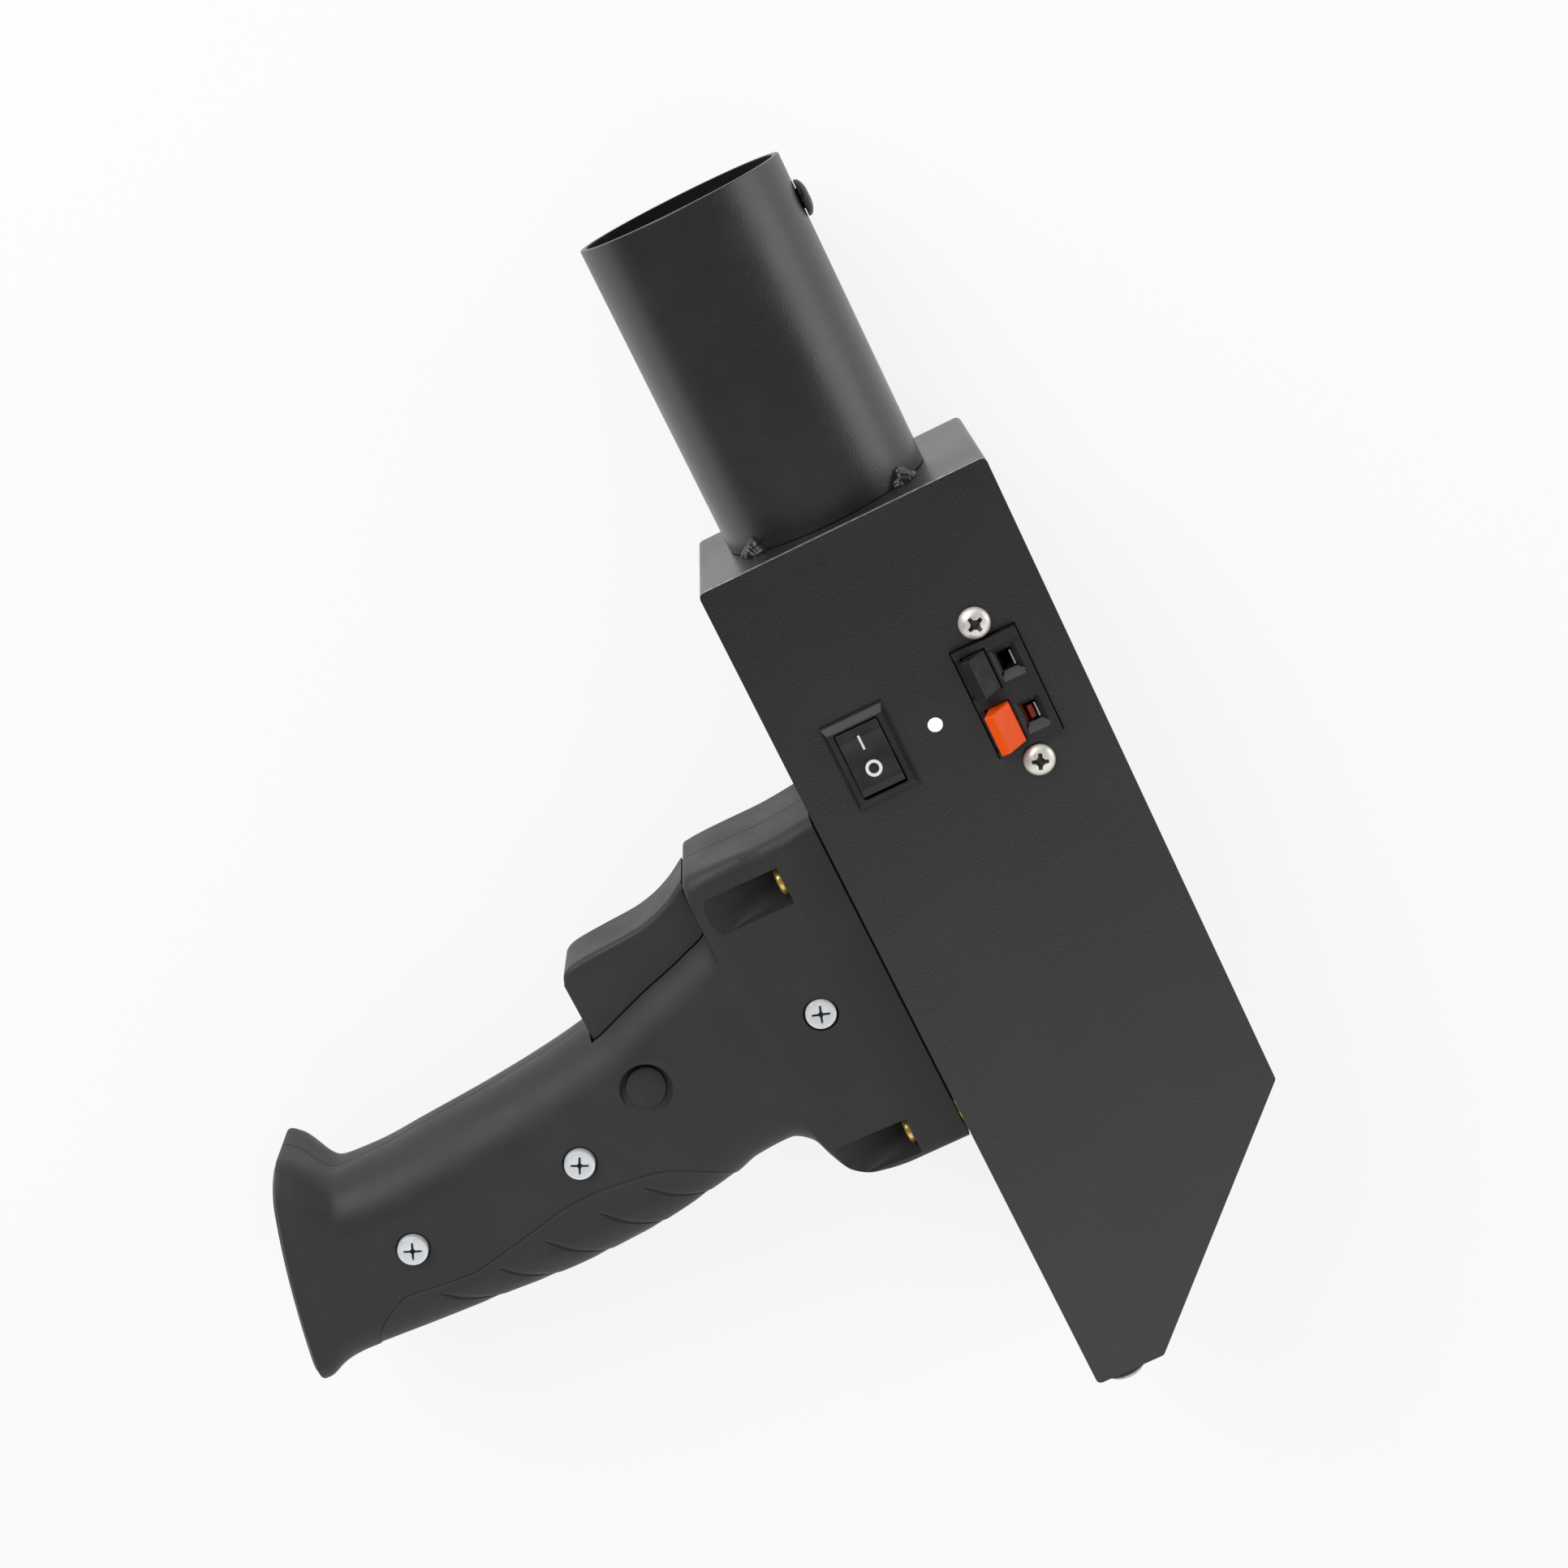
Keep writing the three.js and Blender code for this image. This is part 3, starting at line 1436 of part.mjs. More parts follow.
addPart(
  "trigger_wire_red",
  wire([
    [rockerAcross, lugY[1], lugEndZ],
    [rockerAcross, lugY[1] - sag / 2, lugEndZ - sag],
    [...bendAt([rockerAcross, lugY[1]], [-housingBottom, holeY], triggerRedShares), wireDiameter],
    [-housingBottom + sag, holeY + wireDiameter, wireDiameter],
    [gripTopX - sag, holeY - wireDiameter / 2, wireDiameter],
    [...bendAt([gripTopX, holeY], [tabEndX, tabY[0]], gripRedShares), wireDiameter / 2],
    [tabEndX + sag / 2, tabY[0] - wireDiameter / 2, 0],
    [tabEndX, tabY[0], 0],
  ]),
  redWire,
);
addPart(
  "trigger_wire_black",
  wire([
    [tailX, terminalHalves[1], tailEndZ],
    [tailX, terminalHalves[1] - sag / 2, tailEndZ - sag],
    [
      ...bendAt([tailX, terminalHalves[1]], [rockerAcross, holeY], triggerBlackShares),
      -wireDiameter,
    ],
    [-housingBottom + sag, holeY + wireDiameter, -wireDiameter],
    [gripTopX - sag, holeY, -wireDiameter],
    [...bendAt([gripTopX, holeY], [tabEndX, tabY[1]], gripBlackShares), -wireDiameter],
    [tabEndX + sag / 2, tabY[1], -wireDiameter / 4],
    [tabEndX, tabY[1], 0],
  ]),
  glossPlastic,
);
["red", "black"].forEach((name, i) => {
  const start = socketAcross + (i === 0 ? wireDiameter : -wireDiameter);
  const end = batteryAcross - (i + 1) * sag;
  addPart(
    `charging_wire_${name}`,
    wire([
      [start, socketEndY, socketZ],
      [start, socketEndY + sag, socketZ - sag / 2],
      [...bendAt([start, socketEndY], [end, batteryBackY], chargingShares), 0],
      [end, batteryBackY - sag, batteryMiddleZ],
      [end, batteryBackY, batteryMiddleZ],
    ]),
    i === 0 ? redWire : glossPlastic,
  );
});

// The origin goes under the middle of the part, on the plain side panel
const lowX = gripTopX - gripDrop;
const buttEnd = buttY - seatGap - socketFlangeHeight;
const assembly = new THREE.Group();
assembly.add(parts);
parts.position.set(-(housingTop + lowX) / 2, -(tubeLength + buttEnd) / 2, halfThickness);

export default assembly;
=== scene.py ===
"""Looks of a hand-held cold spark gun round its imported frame, in metres and the frame's axes."""

import json
import math

import bpy
import numpy as np
from mathutils import Matrix, Vector


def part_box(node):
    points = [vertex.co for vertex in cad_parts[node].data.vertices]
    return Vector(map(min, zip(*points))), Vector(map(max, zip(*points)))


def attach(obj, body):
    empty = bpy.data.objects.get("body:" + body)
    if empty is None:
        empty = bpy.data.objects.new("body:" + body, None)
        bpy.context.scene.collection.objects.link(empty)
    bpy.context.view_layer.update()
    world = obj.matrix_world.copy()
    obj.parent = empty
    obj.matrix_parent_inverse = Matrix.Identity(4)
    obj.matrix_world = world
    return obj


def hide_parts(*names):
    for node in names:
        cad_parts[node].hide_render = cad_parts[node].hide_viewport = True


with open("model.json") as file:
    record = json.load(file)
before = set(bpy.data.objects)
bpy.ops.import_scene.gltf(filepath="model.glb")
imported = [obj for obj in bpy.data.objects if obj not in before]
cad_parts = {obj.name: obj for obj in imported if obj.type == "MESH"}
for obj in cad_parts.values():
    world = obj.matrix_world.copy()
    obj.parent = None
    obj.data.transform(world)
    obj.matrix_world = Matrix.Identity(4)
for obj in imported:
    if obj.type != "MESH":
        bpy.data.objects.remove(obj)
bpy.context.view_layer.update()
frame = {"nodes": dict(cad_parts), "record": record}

bl_info = {
    "name": "Cold spark gun",
    "version": (1, 0, 0),
    "blender": (4, 5, 0),
    "location": "3D View > Sidebar > Spark gun",
    "description": "Builds the visible pieces, finishes and studio of a hand-held cold spark gun",
    "category": "Object",
}

MM = 0.001
SMOOTH_ANGLE = math.radians(32)


# Sizes and colours that a user would change


class SparkFinish(bpy.types.PropertyGroup):
    paint: bpy.props.FloatVectorProperty(
        name="Paint",
        description="Black powder coat of the housing and the launch tube",
        subtype="COLOR",
        size=3,
        min=0,
        max=1,
        default=(0.018, 0.018, 0.0195),
    )
    grip: bpy.props.FloatVectorProperty(
        name="Grip plastic",
        description="Moulded plastic of the grip and the trigger",
        subtype="COLOR",
        size=3,
        min=0,
        max=1,
        default=(0.041, 0.041, 0.04),
    )
    switch: bpy.props.FloatVectorProperty(
        name="Switch plastic",
        description="Rocker switch, terminal body and black lever",
        subtype="COLOR",
        size=3,
        min=0,
        max=1,
        default=(0.019, 0.019, 0.02),
    )
    lever: bpy.props.FloatVectorProperty(
        name="Orange lever",
        description="Push lever of the positive port",
        subtype="COLOR",
        size=3,
        min=0,
        max=1,
        default=(1.0, 0.1, 0.002),
    )
    grain: bpy.props.FloatProperty(
        name="Powder grain",
        description="Size of the powder coat's fine texture",
        subtype="DISTANCE",
        unit="LENGTH",
        default=0.45 * MM,
        min=0.05 * MM,
        max=3 * MM,
    )
    lamp_glow: bpy.props.FloatProperty(
        name="Indicator glow",
        description="Strength of the lit indicator",
        default=2.2,
        min=0,
        max=20,
    )


class SparkShape(bpy.types.PropertyGroup):
    sheet_edge: bpy.props.FloatProperty(
        name="Sheet edge",
        description="Radius on the cut edges of the sheet metal",
        subtype="DISTANCE",
        unit="LENGTH",
        default=0.25 * MM,
        min=0,
        max=1 * MM,
    )
    moulded_edge: bpy.props.FloatProperty(
        name="Moulded edge",
        description="Radius on the edges of the two grip halves",
        subtype="DISTANCE",
        unit="LENGTH",
        default=0.21 * MM,
        min=0,
        max=1 * MM,
    )


class SparkStudio(bpy.types.PropertyGroup):
    backdrop: bpy.props.FloatVectorProperty(
        name="Backdrop",
        description="Colour of the pale floor",
        subtype="COLOR",
        size=3,
        min=0,
        max=1,
        default=(0.98, 0.98, 0.98),
    )
    key_power: bpy.props.FloatProperty(
        name="Key light",
        description="Power of the large soft light",
        unit="POWER",
        default=8.5,
        min=0,
        max=200,
    )
    side_power: bpy.props.FloatProperty(
        name="Side light",
        description="Power of the soft light beside the object",
        unit="POWER",
        default=3.3,
        min=0,
        max=200,
    )
    floor_glow: bpy.props.FloatProperty(
        name="Floor glow",
        description="Share of plain white that the camera and reflections see in the floor",
        subtype="FACTOR",
        default=0.85,
        min=0,
        max=1,
    )
    fill: bpy.props.FloatProperty(
        name="Fill",
        description="Strength of the even light from all round",
        default=0.5,
        min=0,
        max=2,
    )
    surround: bpy.props.FloatProperty(
        name="Surround",
        description="Brightness of the pale walls that reflections see before and behind",
        default=1.0,
        min=0,
        max=1,
    )
    overhead: bpy.props.FloatProperty(
        name="Overhead",
        description="Brightness of the dim ceiling that reflections see",
        default=0.045,
        min=0,
        max=1,
    )
    lens: bpy.props.FloatProperty(
        name="Lens",
        description="Focal length on a 36 mm frame",
        unit="CAMERA",
        default=60.62,
        min=20,
        max=200,
    )


# Materials


def feed(tree, socket, value):
    """Sets a socket to a constant, or links it to another socket."""
    if isinstance(value, bpy.types.NodeSocket):
        tree.links.new(value, socket)
    else:
        socket.default_value = value


def add_node(tree, kind, **inputs):
    """A new node with its inputs fed, where an underscore stands for a space in a name."""
    made = tree.nodes.new(kind)
    for key, value in inputs.items():
        feed(tree, made.inputs[key.replace("_", " ")], value)
    return made


def add_math(tree, operation, *values):
    made = tree.nodes.new("ShaderNodeMath")
    made.operation = operation
    for socket, value in zip(made.inputs, values):
        feed(tree, socket, value)
    return made.outputs["Value"]


def smooth_range(tree, value, low, high, start, end):
    """Goes smoothly from start to end while a value goes from low to high."""
    ends = {"From_Min": low, "From_Max": high, "To_Min": start, "To_Max": end}
    made = add_node(tree, "ShaderNodeMapRange", Value=value, **ends)
    made.interpolation_type = "SMOOTHSTEP"
    return made.outputs["Result"]


def rgba(colour):
    return (colour[0], colour[1], colour[2], 1.0)


def shade(colour, factor):
    return [v * factor for v in colour]


class Finish:
    """One node material around a Principled shader, on the object's own coordinates."""

    def __init__(self, name, colour, roughness, metallic=0.0, **levels):
        self.material = bpy.data.materials.new(name)
        self.material.use_nodes = True
        self.tree = self.material.node_tree
        self.shader = self.tree.nodes["Principled BSDF"]
        levels.update(Base_Color=rgba(colour), Roughness=roughness, Metallic=metallic)
        for key, value in levels.items():
            self.shader.inputs[key.replace("_", " ")].default_value = value
        self.place = self.tree.nodes.new("ShaderNodeTexCoord").outputs["Object"]

    def noise(self, size, detail=3.0, roughness=0.5, distortion=0.0, stretch=None):
        place = self.place
        if stretch:
            mapping = add_node(self.tree, "ShaderNodeMapping", Vector=place, Scale=stretch)
            place = mapping.outputs["Vector"]
        made = add_node(
            self.tree,
            "ShaderNodeTexNoise",
            Vector=place,
            Scale=1 / size,
            Detail=detail,
            Roughness=roughness,
            Distortion=distortion,
        )
        return made.outputs["Fac"]

    def cells(self, size):
        made = add_node(self.tree, "ShaderNodeTexVoronoi", Vector=self.place, Scale=1 / size)
        made.feature = "SMOOTH_F1"
        return made.outputs["Distance"]

    def stain(self, mask, low, high, share, colour):
        """Mixes a share of another colour into the base as a mask goes from low to high."""
        mix = self.tree.nodes.new("ShaderNodeMix")
        mix.data_type = "RGBA"
        base = self.shader.inputs["Base Color"]
        before = base.links[0].from_socket if base.is_linked else base.default_value
        factor = smooth_range(self.tree, mask, low, high, 0.0, share)
        for key, value in (("A", before), ("B", rgba(colour)), ("Factor", factor)):
            feed(self.tree, mix.inputs[key], value)
        feed(self.tree, base, mix.outputs["Result"])

    def rough(self, haze, low, high):
        """Lets the roughness go from low to high with a soft noise."""
        roughness = smooth_range(self.tree, haze, 0.3, 0.7, low, high)
        feed(self.tree, self.shader.inputs["Roughness"], roughness)

    def drift(self, size, rough, onset, share, colour, **shape):
        """Lets one soft noise, which it returns, lead the roughness and a second colour."""
        haze = self.noise(size, **shape)
        self.rough(haze, *rough)
        self.stain(haze, *onset, share, colour)
        return haze

    def bump(self, height, distance, strength):
        """Adds relief on top of the relief that is already there."""
        levels = {"Distance": distance, "Strength": strength}
        made = add_node(self.tree, "ShaderNodeBump", Height=height, **levels)
        normal = self.shader.inputs["Normal"]
        if normal.is_linked:
            feed(self.tree, made.inputs["Normal"], normal.links[0].from_socket)
        feed(self.tree, normal, made.outputs["Normal"])


MATERIALS = {}


def finish(name):
    """One of the object's finishes, made the first time that it is asked for."""
    if name not in MATERIALS:
        MATERIALS[name] = FINISHES[name](bpy.context.scene.spark_finish).material
    return MATERIALS[name]


def powder_coat(settings):
    """Fine-textured satin black powder coat, a little polished and dusty in places."""
    coat = Finish("powder_coat", settings.paint, 0.5, Specular_IOR_Level=0.78)
    grain = coat.cells(settings.grain)
    flow = coat.noise(2.2 * MM, detail=2.0)
    handling = coat.noise(38 * MM, detail=4.0, roughness=0.6)
    coat.rough(handling, 0.31, 0.4)
    dusty = [v * 1.5 + 0.004 for v in settings.paint]
    coat.stain(handling, 0.45, 0.75, 0.35, dusty)
    specks = coat.noise(0.5 * MM, detail=1.0)
    coat.stain(specks, 0.66, 0.8, 0.35, (0.09, 0.09, 0.095))
    coat.bump(flow, 0.03 * MM, 0.5)
    coat.bump(grain, 0.035 * MM, 0.7)
    return coat


def sheet_edge_highlight(settings):
    """Lighter grey on the cover's cut front edge: a painted highlight for the light line seen along
    it, on coat worn thin over the cut.
    """
    coat = Finish("sheet_edge", (0.42, 0.42, 0.42), 0.4, 0.3)
    worn, shape = (0.16, 0.16, 0.162), {"detail": 4.0, "roughness": 0.65}
    wear = coat.drift(1.6 * MM, (0.34, 0.5), (0.4, 0.62), 0.75, worn, **shape)
    coat.bump(wear, 0.03 * MM, 0.6)
    return coat


def black_oxide(settings):
    """Blackened steel of the clamp and cover screws, satin with rubbed high spots."""
    steel = Finish("black_screw", (0.017, 0.017, 0.018), 0.4, 0.4)
    rub = steel.drift(1.2 * MM, (0.32, 0.5), (0.55, 0.75), 0.5, (0.09, 0.09, 0.09))
    steel.bump(rub, 0.02 * MM, 0.4)
    return steel


def grip_plastic(settings):
    """Moulded nylon with a fine eroded grain, rubbed smoother where the hand holds it."""
    shell = Finish("grip_plastic", settings.grip, 0.5, Specular_IOR_Level=0.3)
    grain = shell.noise(0.34 * MM, detail=3.0, roughness=0.7)
    rubbed, shape = shade(settings.grip, 1.35), {"detail": 4.0, "roughness": 0.6}
    mottling = shell.drift(14 * MM, (0.43, 0.55), (0.4, 0.75), 0.4, rubbed, **shape)
    dust = shell.noise(0.8 * MM, detail=2.0)
    shell.stain(dust, 0.62, 0.8, 0.25, (0.085, 0.085, 0.08))
    shell.bump(mottling, 0.06 * MM, 0.25)
    shell.bump(grain, 0.03 * MM, 0.7)
    return shell


def switch_plastic(settings):
    """Smooth dark thermoplastic of the rocker switch and the terminal."""
    shell = Finish("switch_plastic", settings.switch, 0.36)
    shell.drift(5 * MM, (0.3, 0.44), (0.45, 0.75), 0.3, shade(settings.switch, 1.6))
    shell.bump(shell.noise(0.25 * MM, detail=2.0), 0.012 * MM, 0.5)
    return shell


def paddle_plastic(settings):
    """Slightly glossier face of the rocker's paddle."""
    shell = Finish("paddle_plastic", shade(settings.switch, 1.5), 0.34)
    shell.drift(4 * MM, (0.25, 0.36), (0.45, 0.75), 0.3, shade(settings.switch, 2.1))
    shell.bump(shell.noise(0.3 * MM, detail=2.0), 0.008 * MM, 0.4)
    return shell


def lever_black(settings):
    """Dull black push lever."""
    shell = Finish("lever_black", shade(settings.switch, 0.5), 0.62, Specular_IOR_Level=0.35)
    shell.drift(3 * MM, (0.42, 0.58), (0.45, 0.75), 0.3, shade(settings.switch, 1.4))
    shell.bump(shell.noise(0.3 * MM, detail=2.0), 0.012 * MM, 0.4)
    return shell


def orange_plastic(settings):
    """Orange push lever with a slight glow of colour in its body."""
    shell = Finish(
        "orange_plastic",
        settings.lever,
        0.36,
        Specular_IOR_Level=0.25,
        Subsurface_Weight=0.08,
        Subsurface_Scale=0.6 * MM,
    )
    shell.drift(3 * MM, (0.3, 0.46), (0.45, 0.75), 0.3, (1.0, 0.14, 0.006))
    shell.bump(shell.noise(0.3 * MM, detail=2.0), 0.015 * MM, 0.5)
    return shell


def plated(name, colour, roughness, metallic=1.0):
    """Plated steel with faint turning marks and a soft pale bloom."""

    def make(settings):
        metal = Finish(name, colour, roughness, metallic)
        span = (roughness * 0.8, roughness * 1.4)
        metal.drift(0.9 * MM, span, (0.5, 0.8), 0.4, shade(colour, 0.85))
        metal.bump(metal.noise(0.2 * MM, detail=2.0), 0.01 * MM, 0.4)
        return metal

    return make


def recess_grime(settings):
    """Darker brownish plating inside the screws' cross recesses, painted shade for the dark recess.
    """
    metal = Finish("recess_grime", (0.085, 0.078, 0.066), 0.5, 0.5)
    metal.drift(0.5 * MM, (0.4, 0.6), (0.45, 0.7), 0.7, (0.24, 0.21, 0.17))
    return metal


def bore_soot(settings):
    """Paint inside the launch tube, darker and duller: painted shade in the bore."""
    coat = Finish("bore_soot", shade(settings.paint, 0.3), 0.75, Specular_IOR_Level=0.25)
    coat.drift(2.5 * MM, (0.62, 0.85), (0.45, 0.75), 0.6, (0.012, 0.0115, 0.011), detail=4.0)
    return coat


def lit_lens(settings):
    """Indicator lens, lit white from inside."""
    lens = Finish(
        "lamp_lens",
        (0.9, 0.9, 0.88),
        0.12,
        Emission_Color=(1.0, 0.99, 0.95, 1.0),
        Emission_Strength=settings.lamp_glow,
    )
    lens.drift(0.6 * MM, (0.08, 0.2), (0.5, 0.8), 0.4, (0.75, 0.76, 0.74), detail=2.0)
    return lens


def white_print(settings):
    """White ink of the rocker's marks."""
    ink = Finish("white_print", (0.86, 0.87, 0.88), 0.5)
    thin = ink.noise(0.4 * MM)
    ink.stain(thin, 0.58, 0.8, 0.4, (0.45, 0.46, 0.48))
    ink.bump(thin, 0.01 * MM, 0.4)
    return ink


def red_plastic(settings):
    """Dark red block behind the positive port."""
    block = Finish("red_plastic", (0.22, 0.01, 0.009), 0.45)
    block.drift(1.5 * MM, (0.34, 0.5), (0.5, 0.8), 0.5, (0.18, 0.008, 0.008))
    return block


def shrink_film(settings):
    """Blue shrunk film round the battery cells."""
    film = Finish("sleeve_film", (0.025, 0.1, 0.36), 0.25)
    deep, folds = (0.04, 0.14, 0.45), {"distortion": 0.6, "stretch": (1.0, 0.35, 1.0)}
    wrinkles = film.drift(6 * MM, (0.2, 0.38), (0.5, 0.8), 0.5, deep, **folds)
    film.bump(wrinkles, 0.25 * MM, 0.4)
    return film


def wire_jacket(name, colour):
    """Soft insulation of the hook-up wires."""

    def make(settings):
        jacket = Finish(name, colour, 0.4)
        haze = jacket.drift(2.5 * MM, (0.34, 0.5), (0.5, 0.8), 0.4, shade(colour, 0.7))
        jacket.bump(haze, 0.03 * MM, 0.3)
        return jacket

    return make


FINISHES = {
    "powder_coat": powder_coat,
    # lighter front edge of the cover, a painted highlight
    "sheet_edge": sheet_edge_highlight,
    "black_screw": black_oxide,
    "grip_plastic": grip_plastic,
    "switch_plastic": switch_plastic,
    "paddle_plastic": paddle_plastic,
    "lever_black": lever_black,
    "orange_plastic": orange_plastic,
    "red_plastic": red_plastic,
    "nickel": plated("nickel", (0.96, 0.93, 0.86), 0.34, 0.5),
    "zinc": plated("zinc", (0.93, 0.96, 0.99), 0.4, 0.4),
    "yellow_zinc": plated("yellow_zinc", (0.98, 0.7, 0.2), 0.26, 0.7),
    "brass": plated("brass", (0.72, 0.55, 0.24), 0.3),
    "spring_steel": plated("spring_steel", (0.56, 0.56, 0.55), 0.3),
    # painted shade inside the screws' cross recesses
    "recess_grime": recess_grime,
    # painted shade inside the launch tube
    "bore_soot": bore_soot,
    "lamp_lens": lit_lens,
    "white_print": white_print,
    "sleeve_film": shrink_film,
    "red_wire": wire_jacket("red_wire", (0.5, 0.012, 0.008)),
    "black_wire": wire_jacket("black_wire", (0.014, 0.014, 0.014)),
}


# Helpers for modelling


def calm():
    """Object mode with nothing selected."""
    if bpy.context.mode != "OBJECT":
        bpy.ops.object.mode_set(mode="OBJECT")
    bpy.ops.object.select_all(action="DESELECT")


def alone(obj):
    """Deselects everything else and makes one object active."""
    calm()
    obj.select_set(True)
    bpy.context.view_layer.objects.active = obj
    return obj


def open_mesh(obj):
    """Edit mode on one object with its whole mesh selected."""
    alone(obj)
    bpy.ops.object.mode_set(mode="EDIT")
    bpy.ops.mesh.select_all(action="SELECT")


def dress(obj, finish_name, slot_name, body, *nodes):
    """Gives a piece its finish, its body and the nodes that it stands for; its slot name is not
    used.
    """
    obj.data.materials.clear()
    obj.data.materials.append(finish(finish_name))
    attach(obj, body)
    if nodes:
        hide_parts(*nodes)
    return obj


def second_finish(obj, finish_name, chosen):
    """Gives the faces for which chosen(face) is true a second finish."""
    obj.data.materials.append(finish(finish_name))
    for face in obj.data.polygons:
        face.material_index = int(chosen(face))


def node_copy(node, name):
    """A loose copy of a node's mesh with its doubles merged and its flat faces joined."""
    piece = bpy.data.objects.new(name, frame["nodes"][node].data.copy())
    bpy.context.scene.collection.objects.link(piece)
    open_mesh(piece)
    bpy.ops.mesh.remove_doubles(threshold=0.002 * MM)
    bpy.ops.mesh.dissolve_limited(angle_limit=math.radians(0.5))
    bpy.ops.object.mode_set(mode="OBJECT")
    return piece


def modify(obj, kind, **settings):
    """Adds a modifier and applies it."""
    alone(obj)
    made = obj.modifiers.new(kind.title(), kind)
    for key, value in settings.items():
        setattr(made, key, value)
    bpy.ops.object.modifier_apply(modifier=made.name)
    return obj


def bevel(obj, width, segments=3, angle=30):
    """Rounds the edges that turn by more than an angle, by a width in millimetres."""
    limit = math.radians(angle)
    sizes = {"width": width * MM, "segments": segments}
    return modify(obj, "BEVEL", limit_method="ANGLE", angle_limit=limit, **sizes)


def smooth(obj, angle=SMOOTH_ANGLE):
    alone(obj)
    bpy.ops.object.shade_smooth_by_angle(angle=angle)
    return obj


def soften(obj, width, segments=3, angle=40):
    """Rounds the sharp edges of a piece, in millimetres, and keeps its flat faces flat."""
    smooth(bevel(obj, width, segments, angle))
    return modify(obj, "WEIGHTED_NORMAL", keep_sharp=True, weight=100)


def applied(obj):
    """Puts an object's place, turn and scale into its mesh."""
    alone(obj)
    bpy.ops.object.transform_apply(location=True, rotation=True, scale=True)
    return obj


TURNS = {"x": (0, math.pi / 2, 0), "y": (math.pi / 2, 0, 0), "z": (0, 0, 0)}


def rod(name, radius, low, high, sides=64):
    """A round bar between two points that share two coordinates, in millimetres."""
    calm()
    low, high = Vector(low), Vector(high)
    along = max(range(3), key=lambda i: abs(high[i] - low[i]))
    bpy.ops.mesh.primitive_cylinder_add(
        vertices=sides,
        radius=radius * MM,
        depth=(high - low).length * MM,
        location=(low + high) / 2 * MM,
        rotation=TURNS["xyz"[along]],
    )
    bpy.context.object.name = name
    return applied(bpy.context.object)


def slab(name, low, high):
    """A box between two corners, in millimetres."""
    calm()
    low, high = Vector(low), Vector(high)
    bpy.ops.mesh.primitive_cube_add(size=1, location=(low + high) / 2 * MM)
    made = bpy.context.object
    made.name = name
    made.scale = (high - low) * MM
    return applied(made)


def block(name, centre, half, low, high):
    """A box round an upright axis, by its half sizes across and along and its two heights."""
    (x, y), (across, along) = centre[:2], half
    return slab(name, (x - across, y - along, low), (x + across, y + along, high))


def prism(name, outline, low, high, axis="z"):
    """An outline pushed out from low to high along an axis, in millimetres."""
    calm()
    bpy.ops.mesh.primitive_circle_add(vertices=len(outline), fill_type="NGON")
    made = bpy.context.object
    made.name = name
    for vertex, (a, b) in zip(made.data.vertices, outline):
        vertex.co = Vector({"x": (low, a, b), "y": (a, low, b), "z": (a, b, low)}[axis]) * MM
    rise = [0, 0, 0]
    rise["xyz".index(axis)] = (high - low) * MM
    open_mesh(made)
    bpy.ops.mesh.extrude_region_move(TRANSFORM_OT_translate={"value": rise})
    bpy.ops.mesh.select_all(action="SELECT")
    bpy.ops.mesh.normals_make_consistent(inside=False)
    bpy.ops.object.mode_set(mode="OBJECT")
    return made


def skin(name, rings):
    """A closed mesh through rings of [x, y, z] points in millimetres, from a rolled-up grid."""
    count, around = rings.shape[:2]
    calm()
    bpy.ops.mesh.primitive_grid_add(x_subdivisions=around, y_subdivisions=count - 1, size=1)
    made = bpy.context.object
    made.name = name
    closed = np.concatenate([rings, rings[:, :1]], axis=1).reshape(-1, 3)
    made.data.vertices.foreach_set("co", (closed * MM).ravel())
    open_mesh(made)
    bpy.ops.mesh.remove_doubles(threshold=0.001 * MM)
    bpy.ops.mesh.select_mode(type="EDGE")
    bpy.ops.mesh.select_all(action="DESELECT")
    bpy.ops.mesh.select_non_manifold()
    bpy.ops.mesh.edge_face_add()
    bpy.ops.mesh.select_all(action="SELECT")
    bpy.ops.mesh.normals_make_consistent(inside=False)
    bpy.ops.object.mode_set(mode="OBJECT")
    return made


def round_angles(count):
    return np.linspace(0, 2 * math.pi, count + 1)[:-1]


def turned(name, profile, sides=64):
    """A piece turned round the z axis from [radius, height] points that start and end on it."""
    angles = round_angles(sides)
    circle = np.column_stack([np.cos(angles), np.sin(angles)])
    rings = [np.column_stack([circle * reach, np.full(sides, z)]) for reach, z in profile]
    return skin(name, np.array(rings))


def carve(obj, *tools, operation="DIFFERENCE"):
    """Cuts tools out of a piece, or adds or keeps what they share, and removes the tools."""
    for tool in tools:
        modify(obj, "BOOLEAN", operation=operation, object=tool, solver="MANIFOLD")
        bpy.data.objects.remove(tool)
    return obj


def duplicate(obj, name):
    made = obj.copy()
    made.data = obj.data.copy()
    made.name = name
    bpy.context.scene.collection.objects.link(made)
    return made


def aimed(obj, place, way, spin=0.0):
    """Moves a mesh made round the z axis so that it starts at a place and points along a way."""
    turn = Vector(way).to_track_quat("Z", "Y").to_matrix().to_4x4()
    obj.data.transform(
        Matrix.Translation(Vector(place) * MM) @ turn @ Matrix.Rotation(math.radians(spin), 4, "Z")
    )
    return obj


def ease(value):
    """A smooth step from 0 to 1."""
    value = np.clip(value, 0, 1)
    return value * value * (3 - 2 * value)


def path_travel(points):
    """How far along a path each of its points lies."""
    return np.concatenate([[0], np.cumsum(np.linalg.norm(np.diff(points, axis=0), axis=1))])


def middle(node):
    """A node's lowest and highest corners and its centre, in millimetres."""
    low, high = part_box(node)
    return low / MM, high / MM, (low + high) / 2 / MM


# The moulded grip, in millimetres


GRIP_TOP = 50.0
GRIP_DROP = 168.2
HEAD_FRONT = 10.8
HEAD_LENGTH = 87.2
GRIP_THICKNESS = 36.0
GRIP_WALL = 2.6
LEAST_RADIUS = 0.6
HALF_GAP = 0.12
MID = 31.0
